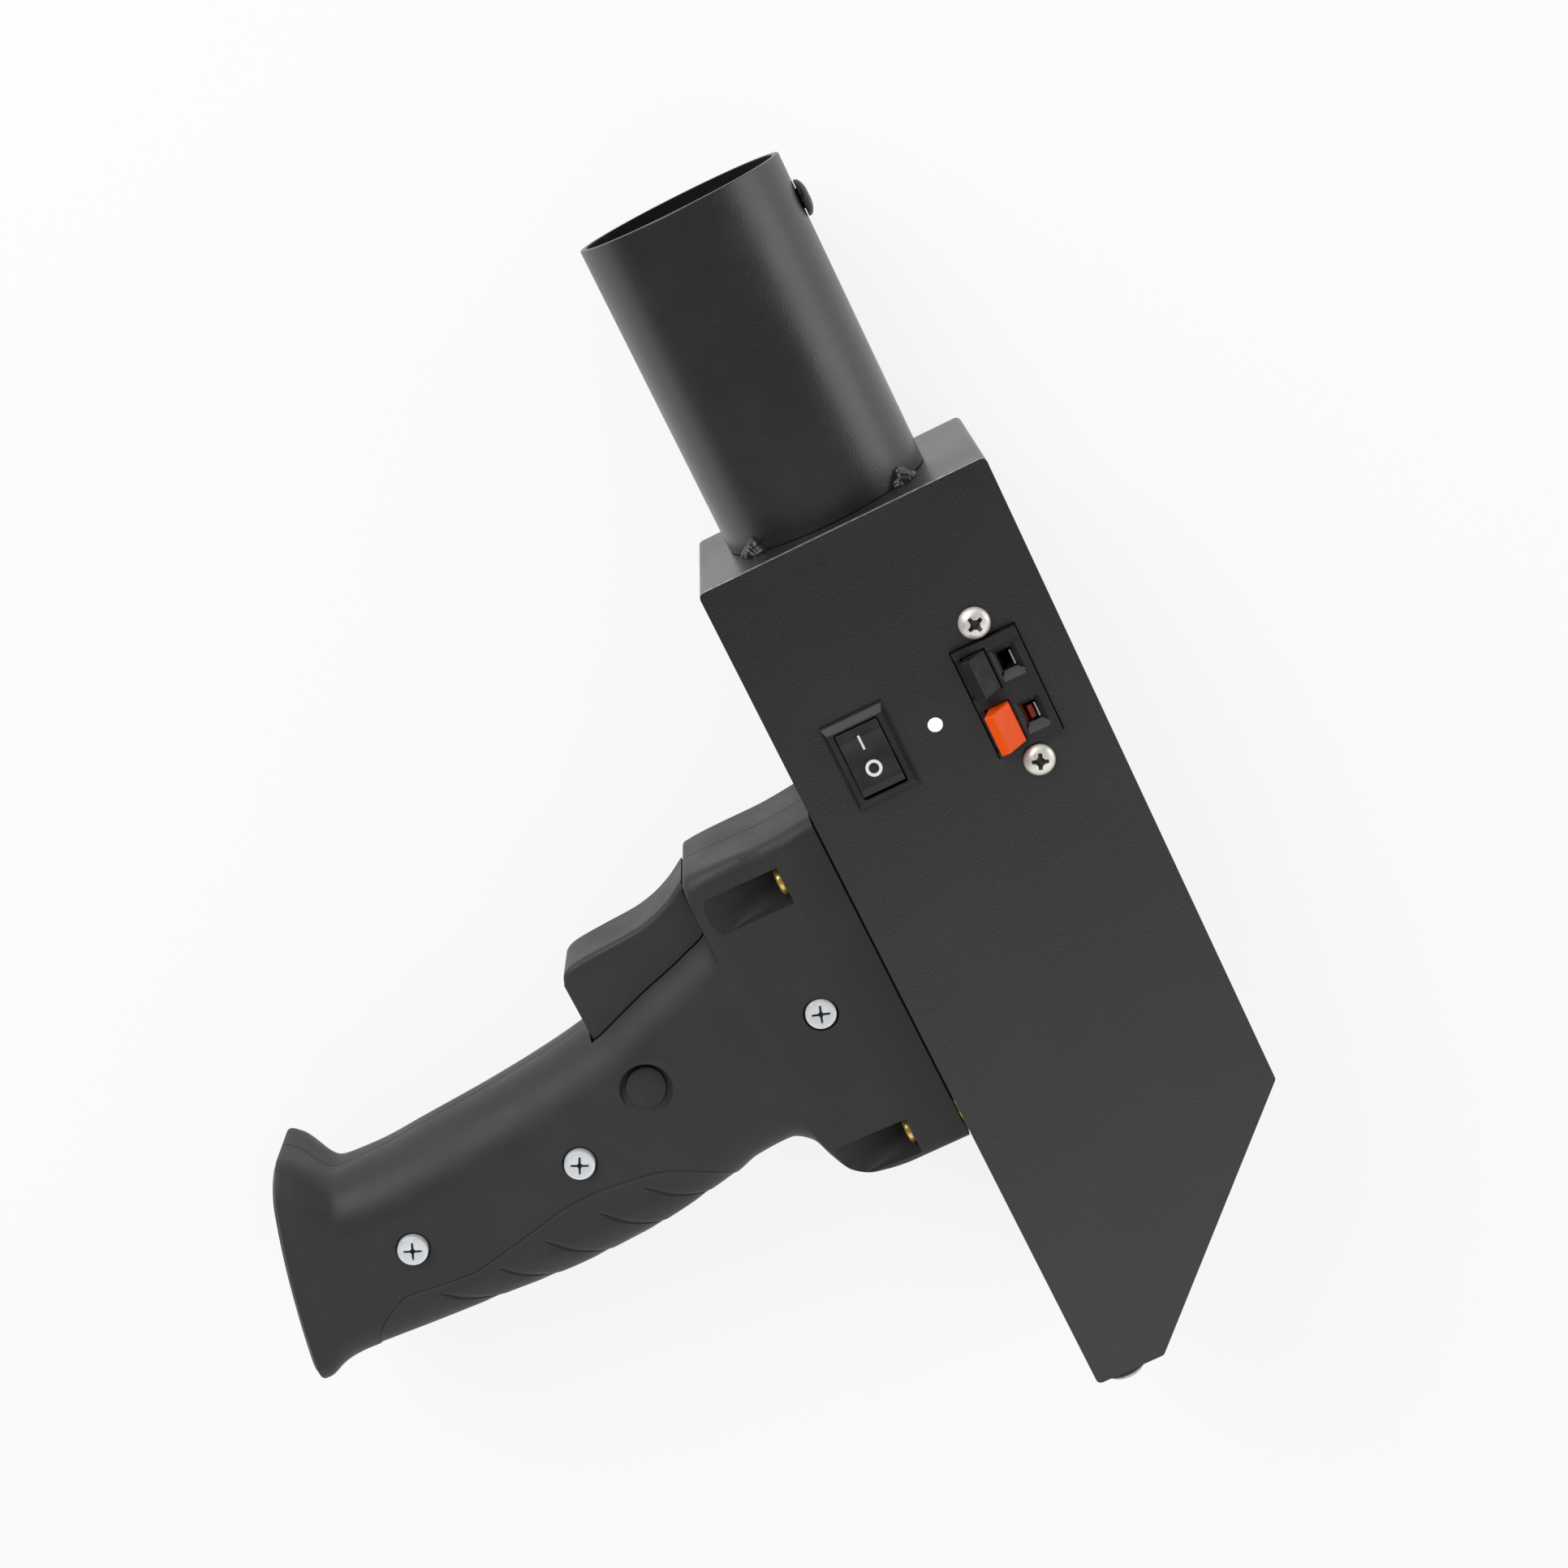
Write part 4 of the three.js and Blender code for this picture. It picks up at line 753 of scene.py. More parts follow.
# Stations down the grip: drop of the front point and its way back along the head, the same for
# the rear point, half the thickness, then the front and rear corner radii, all as shares.
GRIP_STATIONS = np.array(
    [
        [0, -0.004, 0, 1, 0.5, 0.08, 0.08],
        [0.094, 0.01, 0.094, 1, 0.5, 0.085, 0.085],
        [0.165, 0.007, 0.15, 0.991, 0.485, 0.1, 0.1],
        [0.2, 0.009, 0.181, 0.963, 0.475, 0.12, 0.14],
        [0.209, 0.05, 0.196, 0.912, 0.468, 0.15, 0.17],
        [0.212, 0.172, 0.209, 0.853, 0.462, 0.26, 0.2],
        [0.255, 0.208, 0.238, 0.816, 0.458, 0.3, 0.22],
        [0.335, 0.252, 0.292, 0.825, 0.455, 0.33, 0.24],
        [0.378, 0.279, 0.327, 0.846, 0.452, 0.345, 0.245],
        [0.421, 0.305, 0.368, 0.864, 0.45, 0.36, 0.25],
        [0.511, 0.334, 0.475, 0.896, 0.446, 0.38, 0.25],
        [0.61, 0.354, 0.588, 0.905, 0.443, 0.39, 0.25],
        [0.71, 0.368, 0.71, 0.892, 0.443, 0.39, 0.25],
        [0.79, 0.379, 0.83, 0.877, 0.446, 0.38, 0.24],
        [0.829, 0.379, 0.892, 0.865, 0.45, 0.36, 0.22],
        [0.853, 0.378, 0.933, 0.857, 0.455, 0.33, 0.2],
        [0.868, 0.345, 0.96, 0.859, 0.46, 0.3, 0.18],
        [0.877, 0.304, 0.979, 0.877, 0.465, 0.27, 0.16],
        [0.888, 0.267, 0.992, 0.881, 0.466, 0.25, 0.15],
        [0.902, 0.255, 0.998, 0.875, 0.46, 0.24, 0.14],
        [0.911, 0.272, 1, 0.862, 0.42, 0.22, 0.12],
    ]
)
SEAM_GAP = 1.6
SEAM_DEPTH = 3.0
BUTT_BOW = 1.5
BOWED_RINGS = 22
FLARE_SMOOTHING = 30
BUTT_ROUNDING = ((0.3, 0.28), (0.9, 0.5), (1.8, 0.62), (3.2, 0.7), (5.5, 0.76), (8.5, 0.8))
BUTT_CLOSING = (0.85, 0.7, 0.55, 0.4, 0.25, 0.1)

# The trigger's slot: play at its lower and upper end, depth behind the trigger, mouth and width
SLOT_PLAY = (0.4, 0.9)
SLOT_DEPTH = 7.6
SLOT_MOUTH = 14.0
SLOT_HALF = 10.0
WIRE_WAY = -49.2

# Lines of the moulding on the grip's sides, in [x, y]
BAND_EDGE = ((20.0, 56.0), (10.4, 48.0), (8.6, 40.6), (-7.0, 37.2), (-35.0, 36.2), (-80.0, 37.4))
BAND_STEP = 0.12
BAND_SLOPE = 0.05
PANEL_EDGE = (
    (-101.5, -63.0),
    (-97.5, -58.0),
    (-93.5, -55.6),
    (-89.0, -53.9),
    (-78.8, -55.1),
    (-71.9, -55.6),
    (-66.1, -54.7),
    (-53.0, -52.0),
    (-46.1, -50.6),
    (-36.9, -50.0),
    (-27.7, -51.0),
    (-21.9, -51.9),
    (-13.9, -55.3),
    (-6.8, -60.3),
    (-3.0, -66.0),
)
PANEL_STEP = 0.28
PANEL_RIBS = (
    ((-25.9, -54.5), (-15.7, -62.4)),
    ((-38.7, -55.3), (-29.0, -64.1)),
    ((-53.4, -56.2), (-43.7, -65.0)),
    ((-66.2, -57.6), (-57.9, -64.9)),
    ((-81.7, -57.1), (-72.7, -64.0)),
)
RIB_DEPTH = 0.4
GROOVE_RADIUS = 0.3

# The blind round recess with its plug, whose floors rise away from the trigger
RECESS_CENTRE = (-14.3, -31.8)
RECESS_RADIUS = 6.25
RECESS_DEPTH = 4.4
PLUG_RADIUS = 4.75
PLUG_DEPTH = 2.3
RECESS_WAY = math.radians(62.5)
RECESS_FACE = MID + 16.45

# Troughs of the flange screws
TROUGH_RADIUS = 4.7
TROUGH_LENGTH = 20.0
TROUGH_CREASE = 0.12
TROUGH_RISES = (
    (0, 0),
    (0.15, 1.3),
    (0.3, 2.6),
    (0.45, 3.9),
    (0.6, 5.1),
    (0.75, 6.5),
    (0.88, 7.9),
    (0.95, 8.7),
    (1.0, 9.3),
    (1.06, 10.1),
)
TROUGH_SIDE = 12.6
FLANGE_THICKNESS = 13.2


def monotone(at, values, where):
    """Monotone cubic interpolation of columns of values."""
    steps = np.diff(at)[:, None]
    slopes = np.diff(values, axis=0) / steps
    both = slopes[:-1] + slopes[1:]
    same_way = slopes[:-1] * slopes[1:] > 0
    inner = np.where(same_way, 2 * slopes[:-1] * slopes[1:] / np.where(same_way, both, 1), 0)
    tangents = np.vstack([slopes[:1], inner, slopes[-1:]])
    k = np.clip(np.searchsorted(at, where, side="right") - 1, 0, len(at) - 2)
    h = (at[k + 1] - at[k])[:, None]
    t = ((where - at[k]) / (at[k + 1] - at[k]))[:, None]
    return (
        values[k] * (1 + 2 * t) * (1 - t) ** 2
        + tangents[k] * h * t * (1 - t) ** 2
        + values[k + 1] * t * t * (3 - 2 * t)
        + tangents[k + 1] * h * t * t * (t - 1)
    )


def corner_path(radius, half, count):
    """Points round a rounded end, from one side face to the other, as [out, across]."""
    radius = min(radius, half - 0.01)
    quarter = radius * math.pi / 2
    straight = 2 * (half - radius)
    points = []
    for distance in np.linspace(0, 2 * quarter + straight, count + 1)[:-1]:
        if distance < quarter:
            angle = distance / radius
            sine, cosine = radius * math.sin(angle), radius * math.cos(angle)
            points.append((sine - radius, half - radius + cosine))
        elif distance < quarter + straight:
            points.append((0.0, half - radius - (distance - quarter)))
        else:
            angle = (distance - quarter - straight) / radius
            sine, cosine = radius * math.sin(angle), radius * math.cos(angle)
            points.append((cosine - radius, radius - half - sine))
    return np.array(points)


def grip_ring(shares, inset, counts):
    """One closed ring of the grip's skin, as [x, y, z] points."""
    sides, noses, heels = counts
    front, rear = (
        np.array([GRIP_TOP - drop * GRIP_DROP, HEAD_FRONT - back * HEAD_LENGTH])
        for drop, back in (shares[:2], shares[2:4])
    )
    length = np.linalg.norm(rear - front)
    way = (rear - front) / length
    half = shares[4] * GRIP_THICKNESS - inset
    front_radius = min(max(shares[5] * GRIP_THICKNESS - inset, LEAST_RADIUS), half - 0.01)
    rear_radius = max(shares[6] * GRIP_THICKNESS - inset, LEAST_RADIUS)
    spread = 1 - (1 - np.linspace(0, 1, sides + 1)) ** 1.5
    side = inset + front_radius + spread * (length - 2 * inset - front_radius - rear_radius)
    heel = corner_path(rear_radius, half, heels)
    nose = corner_path(front_radius, half, noses)
    along = np.concatenate(
        [side[:-1], length - inset + heel[:, 0], side[:0:-1], inset - nose[:, 0]]
    )
    across = np.concatenate([np.full(sides, half), heel[:, 1], np.full(sides, -half), -nose[:, 1]])
    flat = front + along[:, None] * way
    return np.column_stack([flat, across])


def side_relief(x, y, facing):
    """How far the moulding stands out of the grip's plain form, in millimetres."""
    edge = np.interp(-y, [-p[0] for p in BAND_EDGE], [p[1] for p in BAND_EDGE])
    below = np.clip(edge - x, 0, 8)
    relief = -(BAND_STEP * ease(below / 0.9) + BAND_SLOPE * below * ease((20 - edge + x) / 12))
    relief = relief * ease((facing - 0.5) / 0.4)
    panel = np.interp(x, [p[0] for p in PANEL_EDGE], [p[1] for p in PANEL_EDGE])
    inside = (x > PANEL_EDGE[0][0]) & (x < PANEL_EDGE[-1][0])
    relief -= PANEL_STEP * ease((panel - y) / 0.9) * inside
    for start, end in PANEL_RIBS:
        start, end = np.array(start), np.array(end)
        length = np.linalg.norm(end - start)
        way = (end - start) / length
        along = (x - start[0]) * way[0] + (y - start[1]) * way[1]
        off = (x - start[0]) * way[1] - (y - start[1]) * way[0]
        fade = ease(along / 0.9) * (1 - 0.4 * ease(along / length)) * ease((length + 5 - along) / 2)
        groove = np.where(off < 0, ease(1 + off / 0.6), ease(1 - off / 3.6))
        relief -= RIB_DEPTH * groove * fade
    distance = np.hypot(x - RECESS_CENTRE[0], y - RECESS_CENTRE[1])
    bearing = np.arctan2(y - RECESS_CENTRE[1], x - RECESS_CENTRE[0])
    collar = np.exp(-(((distance - RECESS_RADIUS - 1.7) / 0.75) ** 2))
    relief += 0.16 * collar * ease(0.5 + np.cos(bearing - RECESS_WAY + 0.35))
    return relief


def grip_rings(step, inset, relief, counts, first, last):
    """Rings of the grip's skin at even steps down it, with their moulding."""
    stations = GRIP_STATIONS[first:last]
    drops = np.array([GRIP_DROP, HEAD_LENGTH, GRIP_DROP, HEAD_LENGTH])
    at = path_travel(stations[:, :4] * drops)
    where = np.linspace(0, at[-1], int(at[-1] / step) + 1)
    rows = monotone(at, stations, where)
    soft = rows.copy()
    for _ in range(FLARE_SMOOTHING):
        soft[1:-1] = (soft[:-2] + 2 * soft[1:-1] + soft[2:]) / 4
    flare = ease((rows[:, 0] - 0.76) / 0.05) * ease((0.905 - rows[:, 0]) / 0.02)
    rows += (soft - rows) * flare[:, None]
    rings = np.array([grip_ring(row, inset, counts) for row in rows])
    if not relief:
        return rings
    fore, aft = rings[-1].min(0)[1], rings[-1].max(0)[1]
    share = (rings[..., 1] - fore) / (aft - fore)
    low = ease((np.arange(len(rings)) - len(rings) + BOWED_RINGS) / BOWED_RINGS)[:, None]
    rings[..., 0] -= BUTT_BOW * 4 * np.clip(share * (1 - share), 0, 1) * low
    down = np.gradient(rings, axis=0)
    around = (np.roll(rings, -1, axis=1) - np.roll(rings, 1, axis=1)) / 2
    normal = np.cross(around, down)
    normal /= np.maximum(np.linalg.norm(normal, axis=2, keepdims=True), 1e-9)
    if (normal[..., 2] * rings[..., 2]).mean() < 0:
        normal = -normal
    seam = ease((np.abs(rings[..., 2]) - 3) / 5)
    out = side_relief(rings[..., 0], rings[..., 1], np.abs(normal[..., 2])) * seam
    return rings + normal * out[..., None]


def grip_skin(name):
    """The grip's closed outer skin, with a rounded and slightly bowed butt."""
    rings = grip_rings(0.66, 0.0, True, (90, 40, 72), 0, len(GRIP_STATIONS))
    base, before = rings[-1], rings[-2]
    centre = base.mean(0)
    outward = (centre - before.mean(0)) / np.linalg.norm(centre - before.mean(0))
    reach = np.linalg.norm(base - centre, axis=1, keepdims=True)
    closing = [
        centre + (base - centre) * (1 - inwards / reach) + outward * depth
        for inwards, depth in BUTT_ROUNDING
    ]
    tip = closing[-1].mean(0)
    closing += [tip + (closing[-1] - tip) * part for part in BUTT_CLOSING]
    rings = np.concatenate([rings, closing])
    return skin(name, rings + np.array([0, 0, MID]))


def grip_hollow():
    """Room inside the grip for the trigger's spring, slider and switch."""
    rings = grip_rings(3.0, GRIP_WALL, False, (16, 12, 12), 2, len(GRIP_STATIONS) - 1)
    hollow = skin("hollow", rings + np.array([0, 0, MID]))
    return carve(
        hollow,
        slab("keep", (-110, -80, MID - 9.8), (14.5, 20, MID + 9.8)),
        operation="INTERSECT",
    )


def trough(y, side):
    """A channel that is round at its screw and grows flatter as its floor rises to the skin."""
    end = GRIP_TOP - FLANGE_THICKNESS
    angles = np.linspace(0, math.pi, 41)
    across = TROUGH_RADIUS * np.cos(angles)
    bowl = TROUGH_RADIUS * (1 - np.sin(angles))
    start = TROUGH_SIDE - TROUGH_RADIUS
    rings = []
    for share, rise in TROUGH_RISES:
        flat = ease(share)
        shape = (1 - flat) * bowl + flat * TROUGH_CREASE * np.abs(across)
        outward = np.concatenate([start + rise + shape, [26, 26]])
        place = np.concatenate([across, [-TROUGH_RADIUS, TROUGH_RADIUS]]) + y
        x = np.full(len(place), end - share * TROUGH_LENGTH)
        rings.append(np.column_stack([x, place, MID + side * outward]))
    return skin("channel", np.array(rings))


def trough_tools():
    """Channels of the flange screws and the screws' holes."""
    end = GRIP_TOP - FLANGE_THICKNESS
    tools = []
    for i in range(1, 5):
        _, _, (_, y, z) = middle(f"flange_screw_{i}")
        tools.append(trough(y, 1 if z > MID else -1))
        tools.append(rod("hole", 2.3, (end - 2, y, z), (GRIP_TOP + 2, y, z), 24))
    return tools


def recess_tools():
    """The recess's cutting disc and its plug, both with a sloping face."""
    x, y = RECESS_CENTRE
    made = []
    for name, radius, depth, low, high in (
        ("recess", RECESS_RADIUS, RECESS_DEPTH, 0.05, 6),
        ("plug", PLUG_RADIUS, PLUG_DEPTH, -4.9, 0.02),
    ):
        disc = rod(name, radius, (x, y, RECESS_FACE + low), (x, y, RECESS_FACE + high), 96)
        sloped = low if name == "recess" else high
        for vertex in disc.data.vertices:
            if abs(vertex.co.z / MM - RECESS_FACE - sloped) < 0.01:
                across, along = vertex.co.x / MM - x, vertex.co.y / MM - y
                toward = across * math.cos(RECESS_WAY) + along * math.sin(RECESS_WAY)
                vertex.co.z -= depth * MM * (1 + toward / radius) / 2
        made.append(disc)
    cut, plug = made
    return cut, bevel(plug, 0.45, 4)


def groove(shell, path, radii, side):
    """A thin cutter that follows a path of [x, y] points on one face of the grip."""
    path = np.array(path, float)
    travel = path_travel(path)
    where = np.linspace(0, travel[-1], max(8, int(travel[-1] / 0.7)))
    points = monotone(travel, path, where)
    thickness = np.interp(where / travel[-1], np.linspace(0, 1, len(radii)), radii)
    places, normals = [], []
    for x, y in points:
        start = Vector((x, y, MID + side * 60)) * MM
        hit, place, normal, _ = shell.ray_cast(start, Vector((0, 0, -side)))
        if hit:
            places.append(np.array(place) / MM)
            normals.append(np.array(normal))
    places, normals = np.array(places), np.array(normals)
    angles = round_angles(8)
    rings = []
    for i, (place, normal) in enumerate(zip(places, normals)):
        ahead = places[min(i + 1, len(places) - 1)] - places[max(i - 1, 0)]
        across = np.cross(ahead, normal)
        across /= np.linalg.norm(across)
        rings.append(
            [place + thickness[i] * (math.cos(a) * across + math.sin(a) * normal) for a in angles]
        )
    return skin("groove", np.array(rings))


def grooves(shell):
    """Cutters of the rear panel's outline and of its ribs' sharp edges, on both faces."""
    made = []
    for side in (1, -1):
        outline = [0.1] + [GROOVE_RADIUS * 0.7] * 6 + [0.12]
        made.append(groove(shell, PANEL_EDGE, outline, side))
        for start, end in PANEL_RIBS:
            start, end = np.array(start), np.array(end)
            middle_point = (start + end) / 2 + np.array([-0.5, -0.4])
            tail = end + (end - start) * 0.3
            radii = (0.2, GROOVE_RADIUS * 1.5, GROOVE_RADIUS, GROOVE_RADIUS, 0.2)
            made.append(groove(shell, (start, middle_point, end, tail), radii, side))
    return made


class SPARK_OT_grip(bpy.types.Operator):
    """Two moulded grip halves with troughs, trigger slot, screw seats and the blind recess"""

    bl_idname = "spark.grip"
    bl_label = "Grip halves"

    def execute(self, context):
        form = grip_skin("grip_form")
        recess, plug = recess_tools()
        carve(form, recess)
        carve(form, plug, operation="UNION")
        low, high, _ = middle("trigger")
        slot = slab(
            "slot",
            (low.x - SLOT_PLAY[0], low.y - SLOT_DEPTH, MID - SLOT_HALF),
            (high.x + SLOT_PLAY[1], SLOT_MOUTH, MID + SLOT_HALF),
        )
        wire_way = rod("wire_way", 4.0, (10, WIRE_WAY, MID), (GRIP_TOP + 2, WIRE_WAY, MID))
        lines = grooves(form)
        carve(form, grip_hollow(), slot, wire_way, *trough_tools(), *self.seats())
        carve(form, *lines, self.seam())
        far = duplicate(form, "grip_shell_far")
        form.name = "grip_shell_near"
        edge = context.scene.spark_shape.moulded_edge / MM
        for shell, low, high, node in (
            (form, MID + HALF_GAP, 80, "grip_half_near"),
            (far, -20, MID - HALF_GAP, "grip_half_far"),
        ):
            half = slab("half", (-140, -100, low), (80, 40, high))
            carve(shell, half, operation="INTERSECT")
            smooth(bevel(shell, edge, 2, 48), math.radians(35))
            dress(shell, "grip_plastic", "grip_plastic", "housing", node)
        return {"FINISHED"}

    def seam(self):
        """The band that is left open between the grip and the housing."""
        low, high = GRIP_TOP - SEAM_GAP, GRIP_TOP + 2
        band = slab("seam", (low, -100, -10), (high, 40, 80))
        inner = slab(
            "inner",
            (low - 1, HEAD_FRONT - HEAD_LENGTH + SEAM_DEPTH, MID - GRIP_THICKNESS / 2 + SEAM_DEPTH),
            (high + 1, HEAD_FRONT - SEAM_DEPTH, MID + GRIP_THICKNESS / 2 - SEAM_DEPTH),
        )
        return carve(band, inner)

    def seats(self):
        tools = []
        for node in ("grip_screw_1", "grip_screw_2", "grip_screw_3"):
            low, high, centre = middle(node)
            x, y = centre.x, centre.y
            seat = high.z - GRIP_HEAD - 0.2
            tools.append(rod("seat", 4.2, (x, y, seat), (x, y, 60)))
            tools.append(rod("bore", 1.95, (x, y, low.z - 0.2), (x, y, 60), 24))
        return tools


# Screws: one of each kind is made on the z axis, then copied


# Heights of the heads
TERMINAL_HEAD = 2.4
GRIP_HEAD = 2.3
FLANGE_HEAD = 1.6
CLAMP_HEAD = 2.0
CROSS_TAPER = 0.55
HOUSING_MIDDLE = 84
UP, LEFT, RIGHT = (0, 0, 1), (-1, 0, 0), (1, 0, 0)


def plus_outline(span, width, waist):
    """A cross with a wider middle, as [x, y] points."""
    half, arm, core = span / 2, width / 2, waist / 2
    bulge = arm * 1.15
    corner = ((half, arm), (core, bulge), (bulge, core), (arm, half), (-arm, half))
    points = []
    for turn in range(4):
        cos, sin = round(math.cos(turn * math.pi / 2)), round(math.sin(turn * math.pi / 2))
        points += [(a * cos - b * sin, a * sin + b * cos) for a, b in corner]
    return points


def phillips(span, width, waist, top, depth):
    """A tapered cross-shaped cutter."""
    tool = prism("cross", plus_outline(span, width, waist), top - depth, top + 1)
    for vertex in tool.data.vertices:
        if vertex.co.z / MM < top:
            vertex.co.x *= CROSS_TAPER
            vertex.co.y *= CROSS_TAPER
        else:
            vertex.co.x *= 1 + (1 - CROSS_TAPER) / depth
            vertex.co.y *= 1 + (1 - CROSS_TAPER) / depth
    return tool


def shank(radius, length, pitch=0.8):
    """Profile of a threaded shank from its tip up to the head's underside."""
    points = [(0, -length), (radius * 0.6, -length)]
    for turn in range(int((length - 1.2) / pitch)):
        height = -length + radius * 0.5 + turn * pitch
        points += [(radius * 0.86, height), (radius, height + pitch * 0.4)]
    points.append((radius * 0.86, -0.6))
    return points


def dome(radius, height, rim, flat):
    """Profile of a domed head from its underside to its middle."""
    points = [(radius * 0.96, 0), (radius, rim * 0.3), (radius, rim)]
    for angle in np.linspace(0, math.pi / 2, 10)[1:]:
        reach = flat + (radius - flat) * math.cos(angle)
        points.append((reach, rim + (height - rim) * math.sin(angle)))
    return points + [(0, height + 0.001)]


class SPARK_OT_screws(bpy.types.Operator):
    """Cross-recessed screws of the terminal, grip, flange, cover and tube, each kind made once"""

    bl_idname = "spark.screws"
    bl_label = "Screws"

    def execute(self, context):
        self.terminal()
        self.grip()
        self.flange()
        self.washer()
        self.cover()
        self.clamp()
        return {"FINISHED"}

    def master(self, profile, cross):
        made = carve(turned("screw", profile), phillips(*cross))
        smooth(bevel(made, 0.07, 2, 38), math.radians(34))
        span, top = cross[0], cross[3]
        crown = np.array([point for point in profile if point[1] > top * 0.7 - 0.1])[::-1]
        self.recess = [
            face.index
            for face in made.data.polygons
            if (radius := face.center.xy.length / MM) < span / 2 + 0.25
            and top - cross[4] - 1 < face.center.z / MM
            and face.center.z / MM < np.interp(radius, crown[:, 0], crown[:, 1]) - 0.05
        ]
        return made

    def fit(self, profile, cross, spins, way, head, look, slot, body="housing"):
        """Puts a screw at each of some nodes, its head along a way, with painted shade in its
        cross.
        """
        master = self.master(profile, cross)
        # The cross recess gets painted shade, a darker finish, except on black screws.
        recess_shade = "black_screw" if look == "black_screw" else "recess_grime"
        axis = [abs(v) for v in way].index(1)
        for node, spin in spins.items():
            low, high, place = middle(node)
            place[axis] = high[axis] - head if way[axis] > 0 else low[axis] + head
            made = aimed(duplicate(master, "threaded_" + node), place, way, spin)
            dress(made, look, slot, body, node)
            second_finish(made, recess_shade, lambda face: face.index in self.recess)
        bpy.data.objects.remove(master)

    def terminal(self):
        profile = shank(1.72, 8.1) + [(1.72, 0)] + dome(3.55, TERMINAL_HEAD, 0.55, 0.6)
        cross = (3.9, 0.85, 1.9, 2.25, 1.4)
        spins = {"terminal_screw_1": 22, "terminal_screw_2": 68}
        self.fit(profile, cross, spins, UP, TERMINAL_HEAD, "nickel", "nickel_screw")

    def grip(self):
        top = GRIP_HEAD
        profile = shank(1.72, 23.4) + [
            (1.72, 0),
            (3.5, 0),
            (3.65, 0.15),
            (3.65, top - 0.3),
            (3.56, top - 0.12),
            (3.35, top - 0.02),
            (3.0, top),
            (0, top + 0.001),
        ]
        spins = {"grip_screw_1": -18, "grip_screw_2": -26, "grip_screw_3": -24}
        self.fit(profile, (4.4, 0.5, 1.25, top, 1.2), spins, UP, top, "zinc", "zinc_screw")

    def flange(self):
        low, high, _ = middle("flange_screw_1")
        length = high.x - low.x - FLANGE_HEAD
        profile = shank(1.95, length - 0.1) + [(1.95, 0)] + dome(3.5, FLANGE_HEAD, 0.95, 2.2)
        cross = (4.0, 0.9, 1.8, FLANGE_HEAD, 1.1)
        spins = {f"flange_screw_{i}": 20 * i for i in range(1, 5)}
        self.fit(profile, cross, spins, LEFT, FLANGE_HEAD, "yellow_zinc", "yellow_zinc_screw")

    def washer(self):
        """A thin plated washer, seen in the gap between the grip and the housing."""
        _, _, centre = middle("flange_screw_3")
        radius = GRIP_THICKNESS / 2 - TROUGH_SIDE - 1.0
        place = (GRIP_TOP - SEAM_GAP + 0.1, centre.y, MID + TROUGH_SIDE)
        made = rod("seam_washer", radius, place, (place[0] + 0.6, place[1], place[2]))
        dress(soften(made, 0.12, 2), "yellow_zinc", "yellow_zinc_screw", "housing")

    def cover(self):
        profile = shank(1.45, 4.3, 0.6) + [(1.45, -1.2), (2.7, -0.05), (2.78, 0), (0, 0.001)]
        for way in (RIGHT, LEFT):
            spins = {
                f"cover_screw_{i}": 30 * i
                for i in range(1, 5)
                if (middle(f"cover_screw_{i}")[2].x > HOUSING_MIDDLE) == (way == RIGHT)
            }
            cross = (3.2, 0.7, 1.4, 0.0, 0.9)
            self.fit(profile, cross, spins, way, 0, "black_screw", "black_screw")

    def clamp(self):
        profile = shank(2.42, 3.7) + [(2.42, 0)] + dome(4.25, CLAMP_HEAD, 0.35, 0.4)
        cross = (4.4, 1.0, 2.0, 1.9, 1.3)
        look = ("black_screw", "black_screw", "clamp_body")
        self.fit(profile, cross, {"clamp_screw": 15}, RIGHT, CLAMP_HEAD, *look)


# The controls


PADDLE_TILT = math.radians(-8)
BEZEL_LOW, BEZEL_HIGH = 62.2, 64.0
BEZEL_SLOPE = (0.95, 1.9)
LAMP_RADIUS = 1.5

# The sloped facet in front of each port: where it starts from the port's middle, and its run
FACET_START, FACET_RUN = 2.2, 2.1
FACET_HEIGHTS = (61.4, 63.25)
FACET_ACROSS = (101.5, 106.5)


def paddle_height(y):
    """Height of the paddle's shallow face over its pivot, before it is tipped."""
    y = abs(y)
    face = 2.8 + 1.04 * (y / 7.4) ** 1.5
    return face - max(0.0, y - 5.5) * 0.36


def tip_paddle(obj, y, z):
    """Turns a piece made level over the pivot by the paddle's tilt, then puts it there."""
    turn = Matrix.Rotation(PADDLE_TILT, 4, "X")
    obj.data.transform(Matrix.Translation(Vector((0, y, z)) * MM) @ turn)
    return obj


